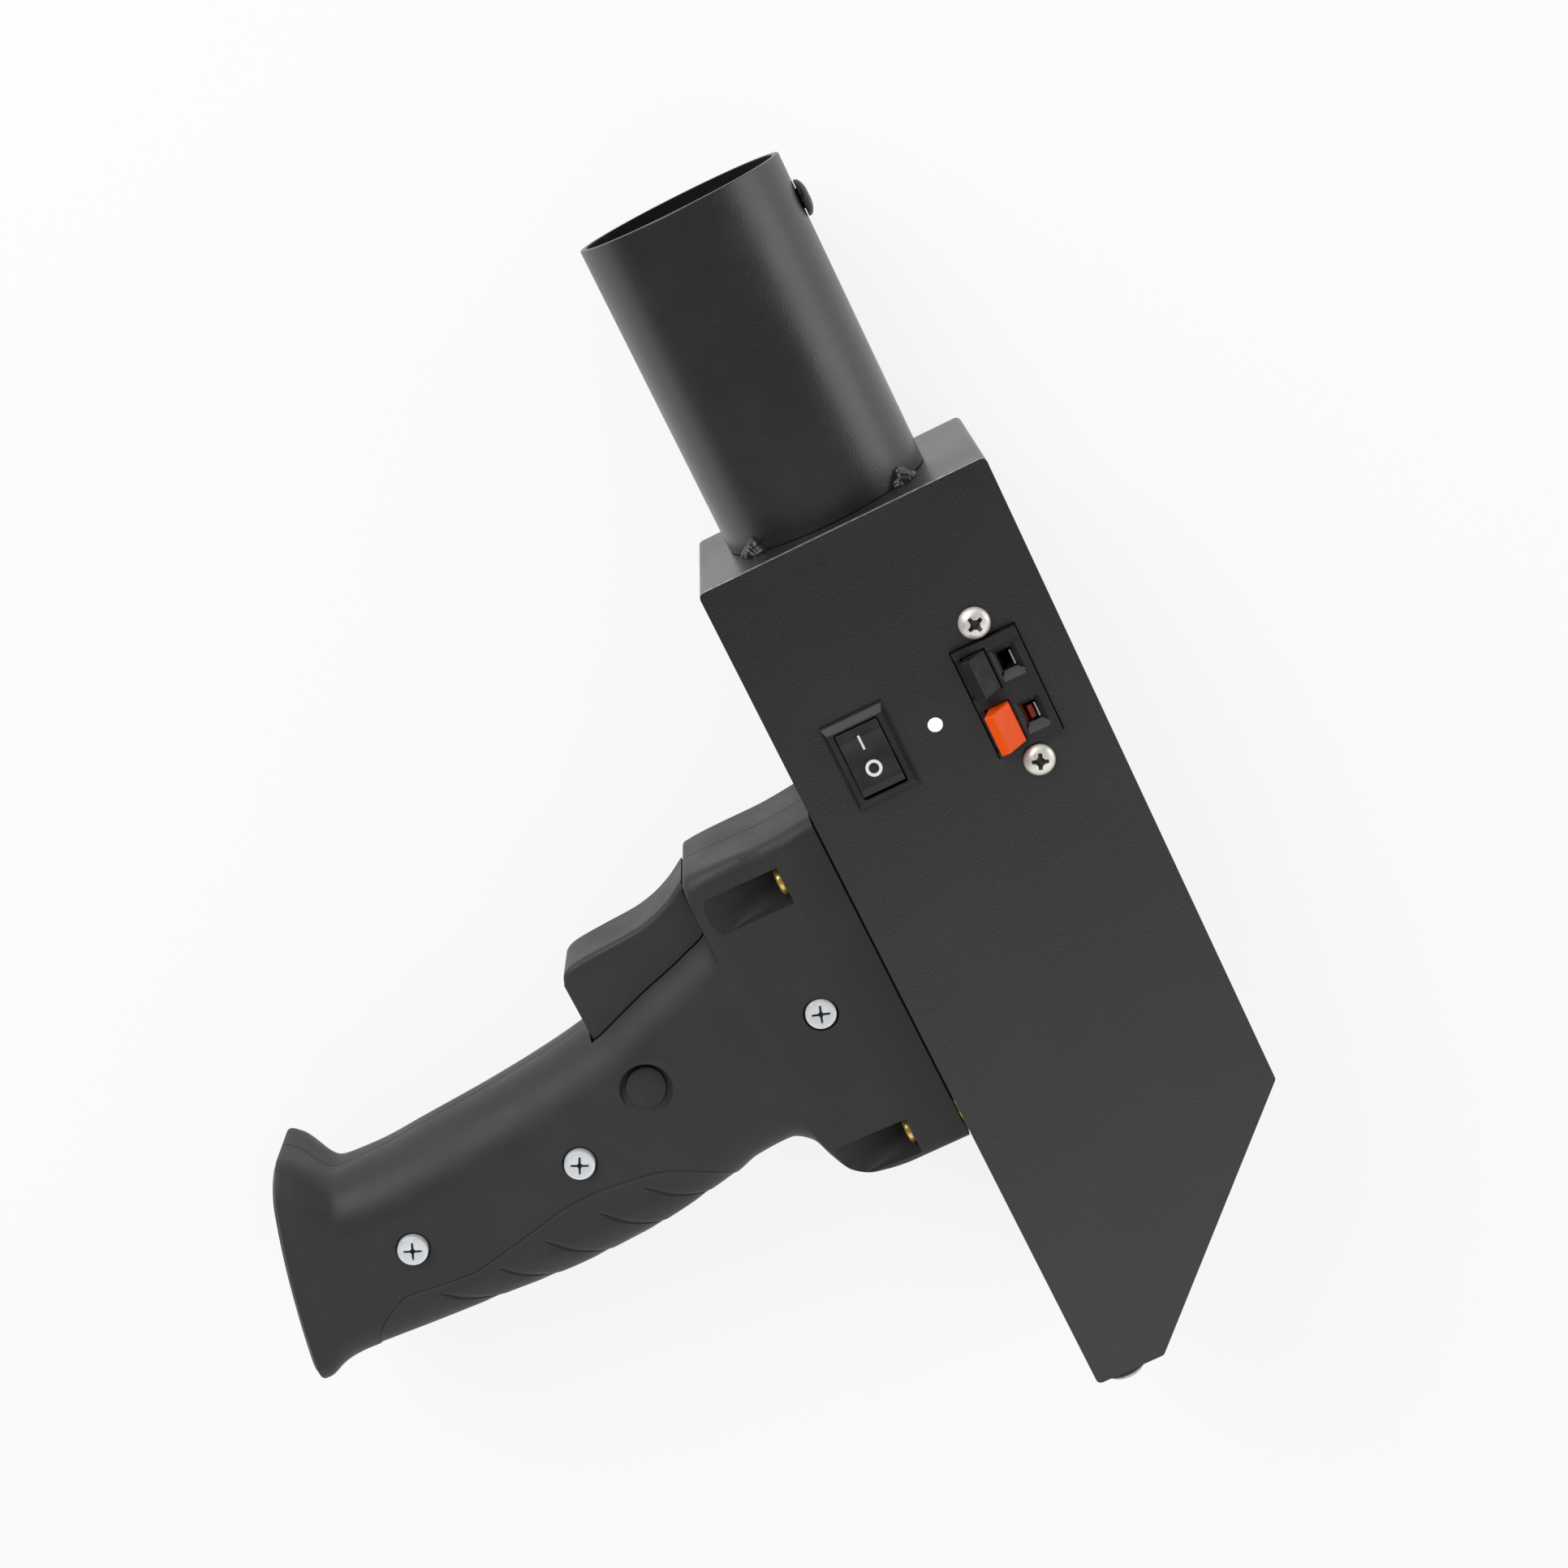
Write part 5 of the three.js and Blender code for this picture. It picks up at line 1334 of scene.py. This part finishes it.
class SPARK_OT_rocker(bpy.types.Operator):
    """Rocker switch: bezel, tipped paddle and its white marks"""

    bl_idname = "spark.rocker"
    bl_label = "Rocker switch"

    def execute(self, context):
        low, high, centre = middle("rocker_body")
        self.bezel(low, high, centre)
        pivot = (centre.y, high.z - 2.2)
        self.paddle(centre.x, *pivot)
        self.marks(centre.x, *pivot)
        return {"FINISHED"}

    def bezel(self, low, high, centre):
        x, y = centre.x, centre.y
        bezel = block("switch_bezel", centre, (7.5, 10.5), BEZEL_LOW, BEZEL_HIGH)
        for vertex in bezel.data.vertices:
            if vertex.co.z > (BEZEL_LOW + BEZEL_HIGH) / 2 * MM:
                vertex.co.x += math.copysign(BEZEL_SLOPE[0] * MM, x * MM - vertex.co.x)
                vertex.co.y += math.copysign(BEZEL_SLOPE[1] * MM, y * MM - vertex.co.y)
        foot = block("foot", centre, (7.5, 10.5), BEZEL_LOW, BEZEL_LOW + 0.4)
        body = block("body", centre, (6.6, 9.6), low.z, BEZEL_LOW + 0.3)
        carve(bezel, foot, body, operation="UNION")
        window = bevel(block("window", centre, (5.3, 8.2), low.z + 2.6, 70), 0.5)
        pins = rod("pins", 1.35, (x - 6.4, y, high.z - 2.2), (x + 6.4, y, high.z - 2.2))
        carve(bezel, window, pins)
        soften(bezel, 0.16, 3, 25)
        dress(bezel, "switch_plastic", "gloss_black_plastic", "housing", "rocker_body")

    def paddle(self, x, y, z):
        face = [(v, paddle_height(v)) for v in np.linspace(-7.4, 7.4, 33)]
        under = [(7.4, -1.25), (3.7, -4.2), (-3.7, -4.2), (-7.4, -1.25)]
        paddle = prism("switch_paddle", face + under, x - 5.0, x + 5.0, "x")
        pins = rod("paddle_pins", 1.2, (x - 6.1, 0, 0), (x + 6.1, 0, 0))
        carve(paddle, pins, operation="UNION")
        soften(paddle, 0.32, 3, 30)
        tip_paddle(paddle, y, z)
        dress(paddle, "paddle_plastic", "gloss_black_plastic", "paddle_body", "rocker_paddle")

    def marks(self, x, y, z):
        calm()
        bpy.ops.mesh.primitive_torus_add(
            major_segments=72, minor_segments=10, major_radius=1.51 * MM, minor_radius=0.35 * MM
        )
        ring = bpy.context.object
        ring.name = "paddle_mark_o"
        bar = slab("paddle_mark_i", (-0.25, -1.7, -0.04), (0.25, 1.7, 0.04))
        open_mesh(bar)
        bpy.ops.mesh.subdivide(number_cuts=6)
        bpy.ops.object.mode_set(mode="OBJECT")
        for mark, across, along, thin in ((ring, -0.2, -2.4, 0.11), (bar, -0.26, 3.9, 1.0)):
            for vertex in mark.data.vertices:
                co = vertex.co
                place = co.y / MM + along
                co.z = co.z * thin + (paddle_height(place) + 0.02) * MM
                co.x += (x + across) * MM
                co.y += along * MM
            smooth(mark)
            tip_paddle(mark, y, z)
            dress(mark, "white_print", None, "paddle_body")


class SPARK_OT_terminal(bpy.types.Operator):
    """Push terminal: body, two levers, contact strips and the red gate of the positive port"""

    bl_idname = "spark.terminal"
    bl_label = "Push terminal"

    def execute(self, context):
        body = node_copy("terminal_body", "terminal_block")
        for colour in ("black", "red"):
            _, _, port = middle(f"terminal_lever_{colour}")
            near, far = port.y - FACET_START, port.y - FACET_START - FACET_RUN
            low, high = FACET_HEIGHTS
            facet = ((near, 65), (near, low), (far, high), (far, 65))
            carve(body, prism("facet", facet, *FACET_ACROSS, "x"))
        low, high, _ = middle("terminal_body")
        back, over = high.y - 1.9, high.y + 0.1
        ridge = ((back, 66), (back, high.z), (over, high.z - 1.6), (over, 66))
        carve(body, prism("facet", ridge, low.x - 1, high.x + 1, "x"))
        soften(body, 0.28, 3, 24)
        dress(body, "switch_plastic", "black_plastic", "housing", "terminal_body")
        for colour, look, slot in (
            ("black", "lever_black", "black_plastic"),
            ("red", "orange_plastic", "orange_plastic"),
        ):
            lever = node_copy(f"terminal_lever_{colour}", f"push_lever_{colour}")
            if colour == "black":
                self.lower(lever)
            soften(lever, 0.3, 3, 25)
            dress(lever, look, slot, f"{colour}_lever_body", f"terminal_lever_{colour}")
            strip = soften(node_copy(f"terminal_contact_{colour}", f"port_strip_{colour}"), 0.1, 2)
            dress(strip, "spring_steel", "spring_steel", "housing", f"terminal_contact_{colour}")
        low, _, centre = middle("terminal_contact_red")
        y = centre.y
        gate = slab("port_gate_red", (low.x - 1.7, y - 1.5, 60.3), (low.x - 0.4, y + 1.5, 62.2))
        soften(gate, 0.3, 3)
        dress(gate, "red_plastic", "orange_plastic", "housing")
        return {"FINISHED"}

    def lower(self, lever):
        """Lowers the black lever's top by 0.8 mm and clears its left face of the body."""
        low, high, _ = middle("terminal_lever_black")
        for vertex in lever.data.vertices:
            vertex.co.z -= 0.8 * (vertex.co.z - low.z * MM) / (high.z - low.z)
            if vertex.co.x < (low.x + 2.2) * MM:
                vertex.co.x += 0.25 * MM


class SPARK_OT_lamp(bpy.types.Operator):
    """Lit indicator: a small dome with its flange under the panel"""

    bl_idname = "spark.lamp"
    bl_label = "Indicator lamp"

    def execute(self, context):
        low, high, centre = middle("indicator_lamp")
        top, radius = high.z - low.z, LAMP_RADIUS
        profile = [(0, 0), (1.8, 0), (1.95, 0.15), (1.95, 4.3), (1.8, 4.4), (radius, 4.4)]
        for angle in np.linspace(0, math.pi / 2, 12)[:-1]:
            profile.append((radius * math.cos(angle), top - radius + radius * math.sin(angle)))
        lamp = turned("indicator_dome", profile + [(0, top)], 48)
        smooth(aimed(lamp, (centre.x, centre.y, low.z), UP))
        dress(lamp, "lamp_lens", "lamp_lens", "housing", "indicator_lamp")
        return {"FINISHED"}


def ribbon(name, path, width, low, high):
    """A thin upright wall along a path of [x, y] points, in millimetres."""
    rings = []
    for i, point in enumerate(path):
        ahead = path[min(i + 1, len(path) - 1)] - path[max(i - 1, 0)]
        across = np.array([-ahead[1], ahead[0]]) / np.linalg.norm(ahead) * width / 2
        left, right = point + across, point - across
        rings.append([[*left, low], [*left, high], [*right, high], [*right, low]])
    return skin(name, np.array(rings))


POCKET_DEPTH = 14.2
SEAT_DEPTH = 18


class SPARK_OT_trigger(bpy.types.Operator):
    """Rounded finger piece with its spring pocket"""

    bl_idname = "spark.trigger"
    bl_label = "Trigger"

    front = (
        (0, 0),
        (0.15, 0.105),
        (0.3, 0.172),
        (0.44, 0.203),
        (0.62, 0.215),
        (0.8, 0.228),
        (0.9, 0.245),
        (0.965, 0.285),
        (1, 0.37),
    )

    def execute(self, context):
        low, high, _ = middle("trigger")
        shares = np.array(self.front)
        points = np.column_stack(
            [high.x - shares[:, 0] * (high.x - low.x), high.y - shares[:, 1] * (high.y - low.y)]
        )
        at = path_travel(points)
        curve = monotone(at, points, np.linspace(0, at[-1], 56))
        outline = [tuple(p) for p in curve] + [(low.x, low.y), (high.x, low.y)]
        trigger = prism("finger_trigger", outline, low.z, high.z)
        alone(trigger)
        bpy.ops.object.mode_set(mode="EDIT")
        bpy.ops.mesh.select_all(action="DESELECT")
        bpy.ops.object.mode_set(mode="OBJECT")
        vertices = trigger.data.vertices
        for edge in trigger.data.edges:
            a, b = (vertices[i].co.z for i in edge.vertices)
            edge.select = abs(a - b) < 0.01 * MM
        bpy.ops.object.mode_set(mode="EDIT")
        bpy.ops.mesh.select_mode(type="EDGE")
        bpy.ops.mesh.bevel(offset=1.5 * MM, segments=6, affect="EDGES")
        bpy.ops.object.mode_set(mode="OBJECT")
        x, y = (low.x + high.x) / 2, low.y
        pocket = rod("pocket", 5.95, (x, y - 2, MID), (x, y + POCKET_DEPTH, MID))
        seat = rod("seat", 2.5, (x, y - 2, MID), (x, y + SEAT_DEPTH, MID), 32)
        carve(trigger, pocket, seat, *self.lines(low, high))
        soften(trigger, 0.2, 2, 50)
        dress(trigger, "grip_plastic", "grip_plastic", "trigger_body", "trigger")
        return {"FINISHED"}

    def lines(self, low, high):
        """Narrow relief grooves where the trigger's sides pass into the grip's slot."""
        shell = bpy.data.objects["grip_shell_near"]
        path = []
        for x in np.linspace(low.x - 1, high.x + 1.5, 40):
            start = Vector((x, 60, MID + 10.3)) * MM
            hit, place, _, _ = shell.ray_cast(start, Vector((0, -1, 0)))
            if hit:
                path.append((x, place.y / MM + 0.12))
        path = np.array(path)
        return [
            ribbon("line", path, 0.55, high.z - 3.0, high.z + 1),
            ribbon("line", path, 0.55, low.z - 1, low.z + 3.0),
        ]


# The housing and the tube


class SPARK_OT_housing(bpy.types.Operator):
    """Folded tray and flat cover, with softened sheet edges"""

    bl_idname = "spark.housing"
    bl_label = "Housing"

    def execute(self, context):
        edge = context.scene.spark_shape.sheet_edge / MM
        for node, name in (("housing_tray", "folded_tray"), ("side_cover", "control_cover")):
            sheet = soften(node_copy(node, name), edge, 2, 50)
            dress(sheet, "powder_coat", "black_paint", "housing", node)
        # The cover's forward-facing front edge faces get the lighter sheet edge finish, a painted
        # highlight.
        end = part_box("side_cover")[1].y - 0.3 * MM
        second_finish(sheet, "sheet_edge", lambda f: f.center.y > end and f.normal.y > 0.3)
        return {"FINISHED"}


TUBE_OUTER, TUBE_INNER = 24.0, 22.4
TUBE_SIDES = 192
WELD_ANGLES = (47, -47, 129, -129)
WELD_NOISE = ((2.1, 1.3, 0.7, 0.4), (3.3, -1.9, 2.6, 1.9), (5.7, 4.4, -3.1, 0.8))


def lumpy(points, amount):
    """A smooth uneven swelling for weld metal, in millimetres."""
    swell = np.zeros(len(points))
    for a, b, c, phase in WELD_NOISE:
        swell += np.sin(points @ np.array([a, b, c]) * 0.55 + phase) / len(WELD_NOISE)
    return amount * swell


class SPARK_OT_tube(bpy.types.Operator):
    """Launch tube with a rounded lip and four lumpy tack welds"""

    bl_idname = "spark.tube"
    bl_label = "Launch tube"

    def execute(self, context):
        low, high, centre = middle("launch_tube")
        x, z = centre.x, MID
        start, end = low.y, high.y
        outer, inner, lip = TUBE_OUTER, TUBE_INNER, 0.25
        profile = [(inner, start), (outer, start)]
        for middle_of_lip, first in ((outer - lip, 0), (inner + lip, math.pi / 2)):
            for angle in np.linspace(first, first + math.pi / 2, 6):
                across, rise = lip * math.cos(angle), lip * math.sin(angle)
                profile.append((middle_of_lip + across, end - lip + rise))
        profile.append((inner, start))
        angles, ones = round_angles(TUBE_SIDES), np.ones(TUBE_SIDES)
        rings = [
            np.column_stack([x + r * np.sin(angles), y * ones, z + r * np.cos(angles)])
            for r, y in profile
        ]
        tube = skin("barrel_tube", np.array(rings))
        y = middle("clamp_screw")[2].y
        carve(tube, rod("hole", 2.6, (x + 18, y, z), (x + 28, y, z), 32))
        smooth(tube, math.radians(30))
        modify(tube, "WEIGHTED_NORMAL", keep_sharp=True, weight=60)
        dress(tube, "powder_coat", "black_paint", "housing", "launch_tube")

        def in_bore(face):
            away = math.hypot(face.center.x / MM - x, face.center.z / MM - z)
            return away < inner + lip / 2

        # The bore's faces get a darker finish, painted shade inside the tube.
        second_finish(tube, "bore_soot", in_bore)
        self.welds(x, start, z)
        return {"FINISHED"}

    def welds(self, x, y, z):
        """Each tack is a few overlapping lumps run together, sunk a little into the tube."""
        lumps = (
            ((0, 0.2, 25.0), (2.7, 2.5, 1.9)),
            ((1.5, 0.0, 24.9), (2.3, 1.5, 1.7)),
            ((-1.6, 0.1, 24.8), (2.2, 1.8, 1.6)),
            ((0.4, 1.6, 24.3), (1.7, 1.9, 1.2)),
        )
        blobs = []
        for place, size in lumps:
            calm()
            place = Vector(place) * MM
            bpy.ops.mesh.primitive_ico_sphere_add(subdivisions=4, radius=MM, location=place)
            blob = bpy.context.object
            blob.scale = size
            blobs.append(applied(blob))
        weld = carve(blobs[0], *blobs[1:], operation="UNION")
        modify(weld, "REMESH", mode="VOXEL", voxel_size=0.22 * MM, use_smooth_shade=True)
        modify(weld, "SMOOTH", factor=0.8, iterations=5)
        for i, angle in enumerate(WELD_ANGLES, 1):
            tack = duplicate(weld, f"tack_weld_{i}")
            points = np.array([v.co for v in tack.data.vertices]) / MM
            swell = lumpy(points * (1 + 0.12 * i) + i, 0.35)
            outward = points - np.array([0, 0, 24.5])
            outward /= np.maximum(np.linalg.norm(outward, axis=1, keepdims=True), 0.3)
            points = points + outward * swell[:, None]
            points[:, 1] = np.maximum(points[:, 1], 0.02)
            tack.data.vertices.foreach_set("co", (points * MM).ravel())
            tack.data.transform(
                Matrix.Translation(Vector((x, y - 0.15, z)) * MM)
                @ Matrix.Rotation(math.radians(angle), 4, "Y")
            )
            smooth(tack, math.radians(60))
            dress(tack, "powder_coat", "black_paint", "housing")
        bpy.data.objects.remove(weld)


class SPARK_OT_socket(bpy.types.Operator):
    """Charging socket in the butt wall, with a bright barrel ring"""

    bl_idname = "spark.socket"
    bl_label = "Charging socket"

    def execute(self, context):
        socket = soften(node_copy("charging_socket", "charging_jack"), 0.3, 3, 40)
        dress(socket, "switch_plastic", "gloss_black_plastic", "housing", "charging_socket")
        low, _, centre = middle("charging_socket")
        ends = [(centre.x, low.y + step, centre.z) for step in (-0.2, 1.2)]
        beyond = [(centre.x, low.y + step, centre.z) for step in (-1, 2)]
        ring = carve(rod("jack_ring", 4.4, *ends), rod("bore", 3.0, *beyond))
        dress(soften(ring, 0.15, 2), "spring_steel", "spring_steel", "housing")
        return {"FINISHED"}


class SPARK_OT_inner_finish(bpy.types.Operator):
    """Finishes for the pieces that stay as the frame has them"""

    bl_idname = "spark.inner_finish"
    bl_label = "Inner pieces"

    by_slot = {
        "black_paint": "powder_coat",
        "black_screw": "black_screw",
        "gloss_black_plastic": "switch_plastic",
        "black_plastic": "switch_plastic",
        "grip_plastic": "grip_plastic",
        "orange_plastic": "orange_plastic",
        "lamp_lens": "lamp_lens",
        "nickel_screw": "nickel",
        "zinc_screw": "zinc",
        "yellow_zinc_screw": "yellow_zinc",
        "brass_tag": "brass",
        "spring_steel": "spring_steel",
        "sleeve_film": "sleeve_film",
        "red_wire": "red_wire",
        "black_wire": "black_wire",
    }

    def execute(self, context):
        for part in frame["record"]["subparts"]:
            node = frame["nodes"][part["node"]]
            node.data.materials.clear()
            node.data.materials.append(finish(self.by_slot[part["material_slot"]]))
        return {"FINISHED"}


# How far along y a reflection has to point for each pale wall to begin, and to be full
WALL_ENDS = ((-0.14, -0.52), (0.62, 0.9))


class SPARK_OT_stage(bpy.types.Operator):
    """Pale floor, soft lights and the camera"""

    bl_idname = "spark.stage"
    bl_label = "Studio"

    lights = (("key", (-0.35, 1.0, 0.8), 0.9), ("side", (1.2, 0.0, 0.3), 0.8))

    def execute(self, context):
        studio = context.scene.spark_studio
        context.scene.view_settings.view_transform = "Standard"
        self.floor(studio)
        for name, place, size in self.lights:
            self.light(name, Vector(place), size, getattr(studio, name + "_power"))
        self.world(context.scene)
        self.camera(context.scene, studio)
        return {"FINISHED"}

    def floor(self, studio):
        bpy.ops.mesh.primitive_plane_add(size=12, location=(0, 0, -0.05 * MM))
        floor = bpy.context.object
        floor.name = "pale_floor"
        material = bpy.data.materials.new("pale_floor")
        material.use_nodes = True
        tree = material.node_tree
        shader = tree.nodes["Principled BSDF"]
        for key, value in (
            ("Base Color", rgba(studio.backdrop)),
            ("Roughness", 0.9),
            ("Specular IOR Level", 0.0),
        ):
            shader.inputs[key].default_value = value
        glow = add_node(tree, "ShaderNodeEmission", Color=(1, 1, 1, 1))
        share = add_math(tree, "MULTIPLY", self.seen(tree), studio.floor_glow)
        mix = add_node(tree, "ShaderNodeMixShader", Fac=share)
        feed(tree, mix.inputs[1], shader.outputs["BSDF"])
        feed(tree, mix.inputs[2], glow.outputs["Emission"])
        feed(tree, tree.nodes["Material Output"].inputs["Surface"], mix.outputs["Shader"])
        floor.data.materials.append(material)

    def seen(self, tree):
        """A value that is 1 for camera, glossy and transmission rays."""
        path = tree.nodes.new("ShaderNodeLightPath")
        value = path.outputs["Is Camera Ray"]
        for name in ("Is Glossy Ray", "Is Transmission Ray"):
            value = add_math(tree, "MAXIMUM", value, path.outputs[name])
        return value

    def light(self, name, place, size, power):
        data = bpy.data.lights.new(name, "AREA")
        data.shape = "DISK"
        data.size = size
        data.energy = power
        lamp = bpy.data.objects.new(name, data)
        bpy.context.scene.collection.objects.link(lamp)
        lamp.location = place
        lamp.rotation_mode = "QUATERNION"
        lamp.rotation_quaternion = (place - Vector((0, 0, 0.02))).to_track_quat("Z", "Y")

    def world(self, scene):
        world = bpy.data.worlds.new("studio_world")
        scene.world = world
        world.use_nodes = True
        tree = world.node_tree
        background = tree.nodes["Background"]
        background.inputs["Color"].default_value = (1, 1, 1, 1)
        studio = scene.spark_studio
        way = tree.nodes.new("ShaderNodeTexCoord").outputs["Generated"]
        along = add_node(tree, "ShaderNodeSeparateXYZ", Vector=way).outputs["Y"]
        levels = (studio.overhead, studio.surround)
        walls = [smooth_range(tree, along, *ends, *levels) for ends in WALL_ENDS]
        bright = add_math(tree, "MAXIMUM", *walls)
        level = add_node(
            tree, "ShaderNodeMapRange", Value=self.seen(tree), To_Min=studio.fill, To_Max=bright
        )
        feed(tree, background.inputs["Strength"], level.outputs["Result"])

    def camera(self, scene, studio):
        data = bpy.data.cameras.new("camera")
        data.lens = studio.lens
        data.sensor_width = 36
        data.clip_start = 0.01
        camera = bpy.data.objects.new("camera", data)
        scene.collection.objects.link(camera)
        camera.location = (0.10373854, 0.17988979, 0.61724911)
        camera.rotation_euler = [math.radians(a) for a in (-16.42995984, -1.85924642, -25.92210511)]
        scene.camera = camera


class SPARK_PT_panel(bpy.types.Panel):
    """Lists the pieces in the order that they are built"""

    bl_idname = "SPARK_PT_panel"
    bl_label = "Spark gun"
    bl_space_type = "VIEW_3D"
    bl_region_type = "UI"
    bl_category = "Spark gun"

    def draw(self, context):
        for operator in PIECES:
            self.layout.operator(operator.bl_idname)
        for group in ("spark_shape", "spark_finish", "spark_studio"):
            settings = getattr(context.scene, group)
            for key in settings.__annotations__:
                self.layout.prop(settings, key)


SETTINGS = {
    "spark_finish": SparkFinish,
    "spark_shape": SparkShape,
    "spark_studio": SparkStudio,
}
PIECES = (
    SPARK_OT_stage,
    SPARK_OT_inner_finish,
    SPARK_OT_housing,
    SPARK_OT_tube,
    SPARK_OT_grip,
    SPARK_OT_trigger,
    SPARK_OT_rocker,
    SPARK_OT_lamp,
    SPARK_OT_terminal,
    SPARK_OT_screws,
    SPARK_OT_socket,
)


def register():
    for cls in (*SETTINGS.values(), *PIECES, SPARK_PT_panel):
        bpy.utils.register_class(cls)
    for name, cls in SETTINGS.items():
        setattr(bpy.types.Scene, name, bpy.props.PointerProperty(type=cls))


def unregister():
    for name in SETTINGS:
        delattr(bpy.types.Scene, name)
    for cls in (SPARK_PT_panel, *reversed(PIECES), *reversed(SETTINGS.values())):
        bpy.utils.unregister_class(cls)


def main():
    register()
    for operator in PIECES:
        group, name = operator.bl_idname.split(".")
        getattr(getattr(bpy.ops, group), name)()


if __name__ == "__main__":
    main()
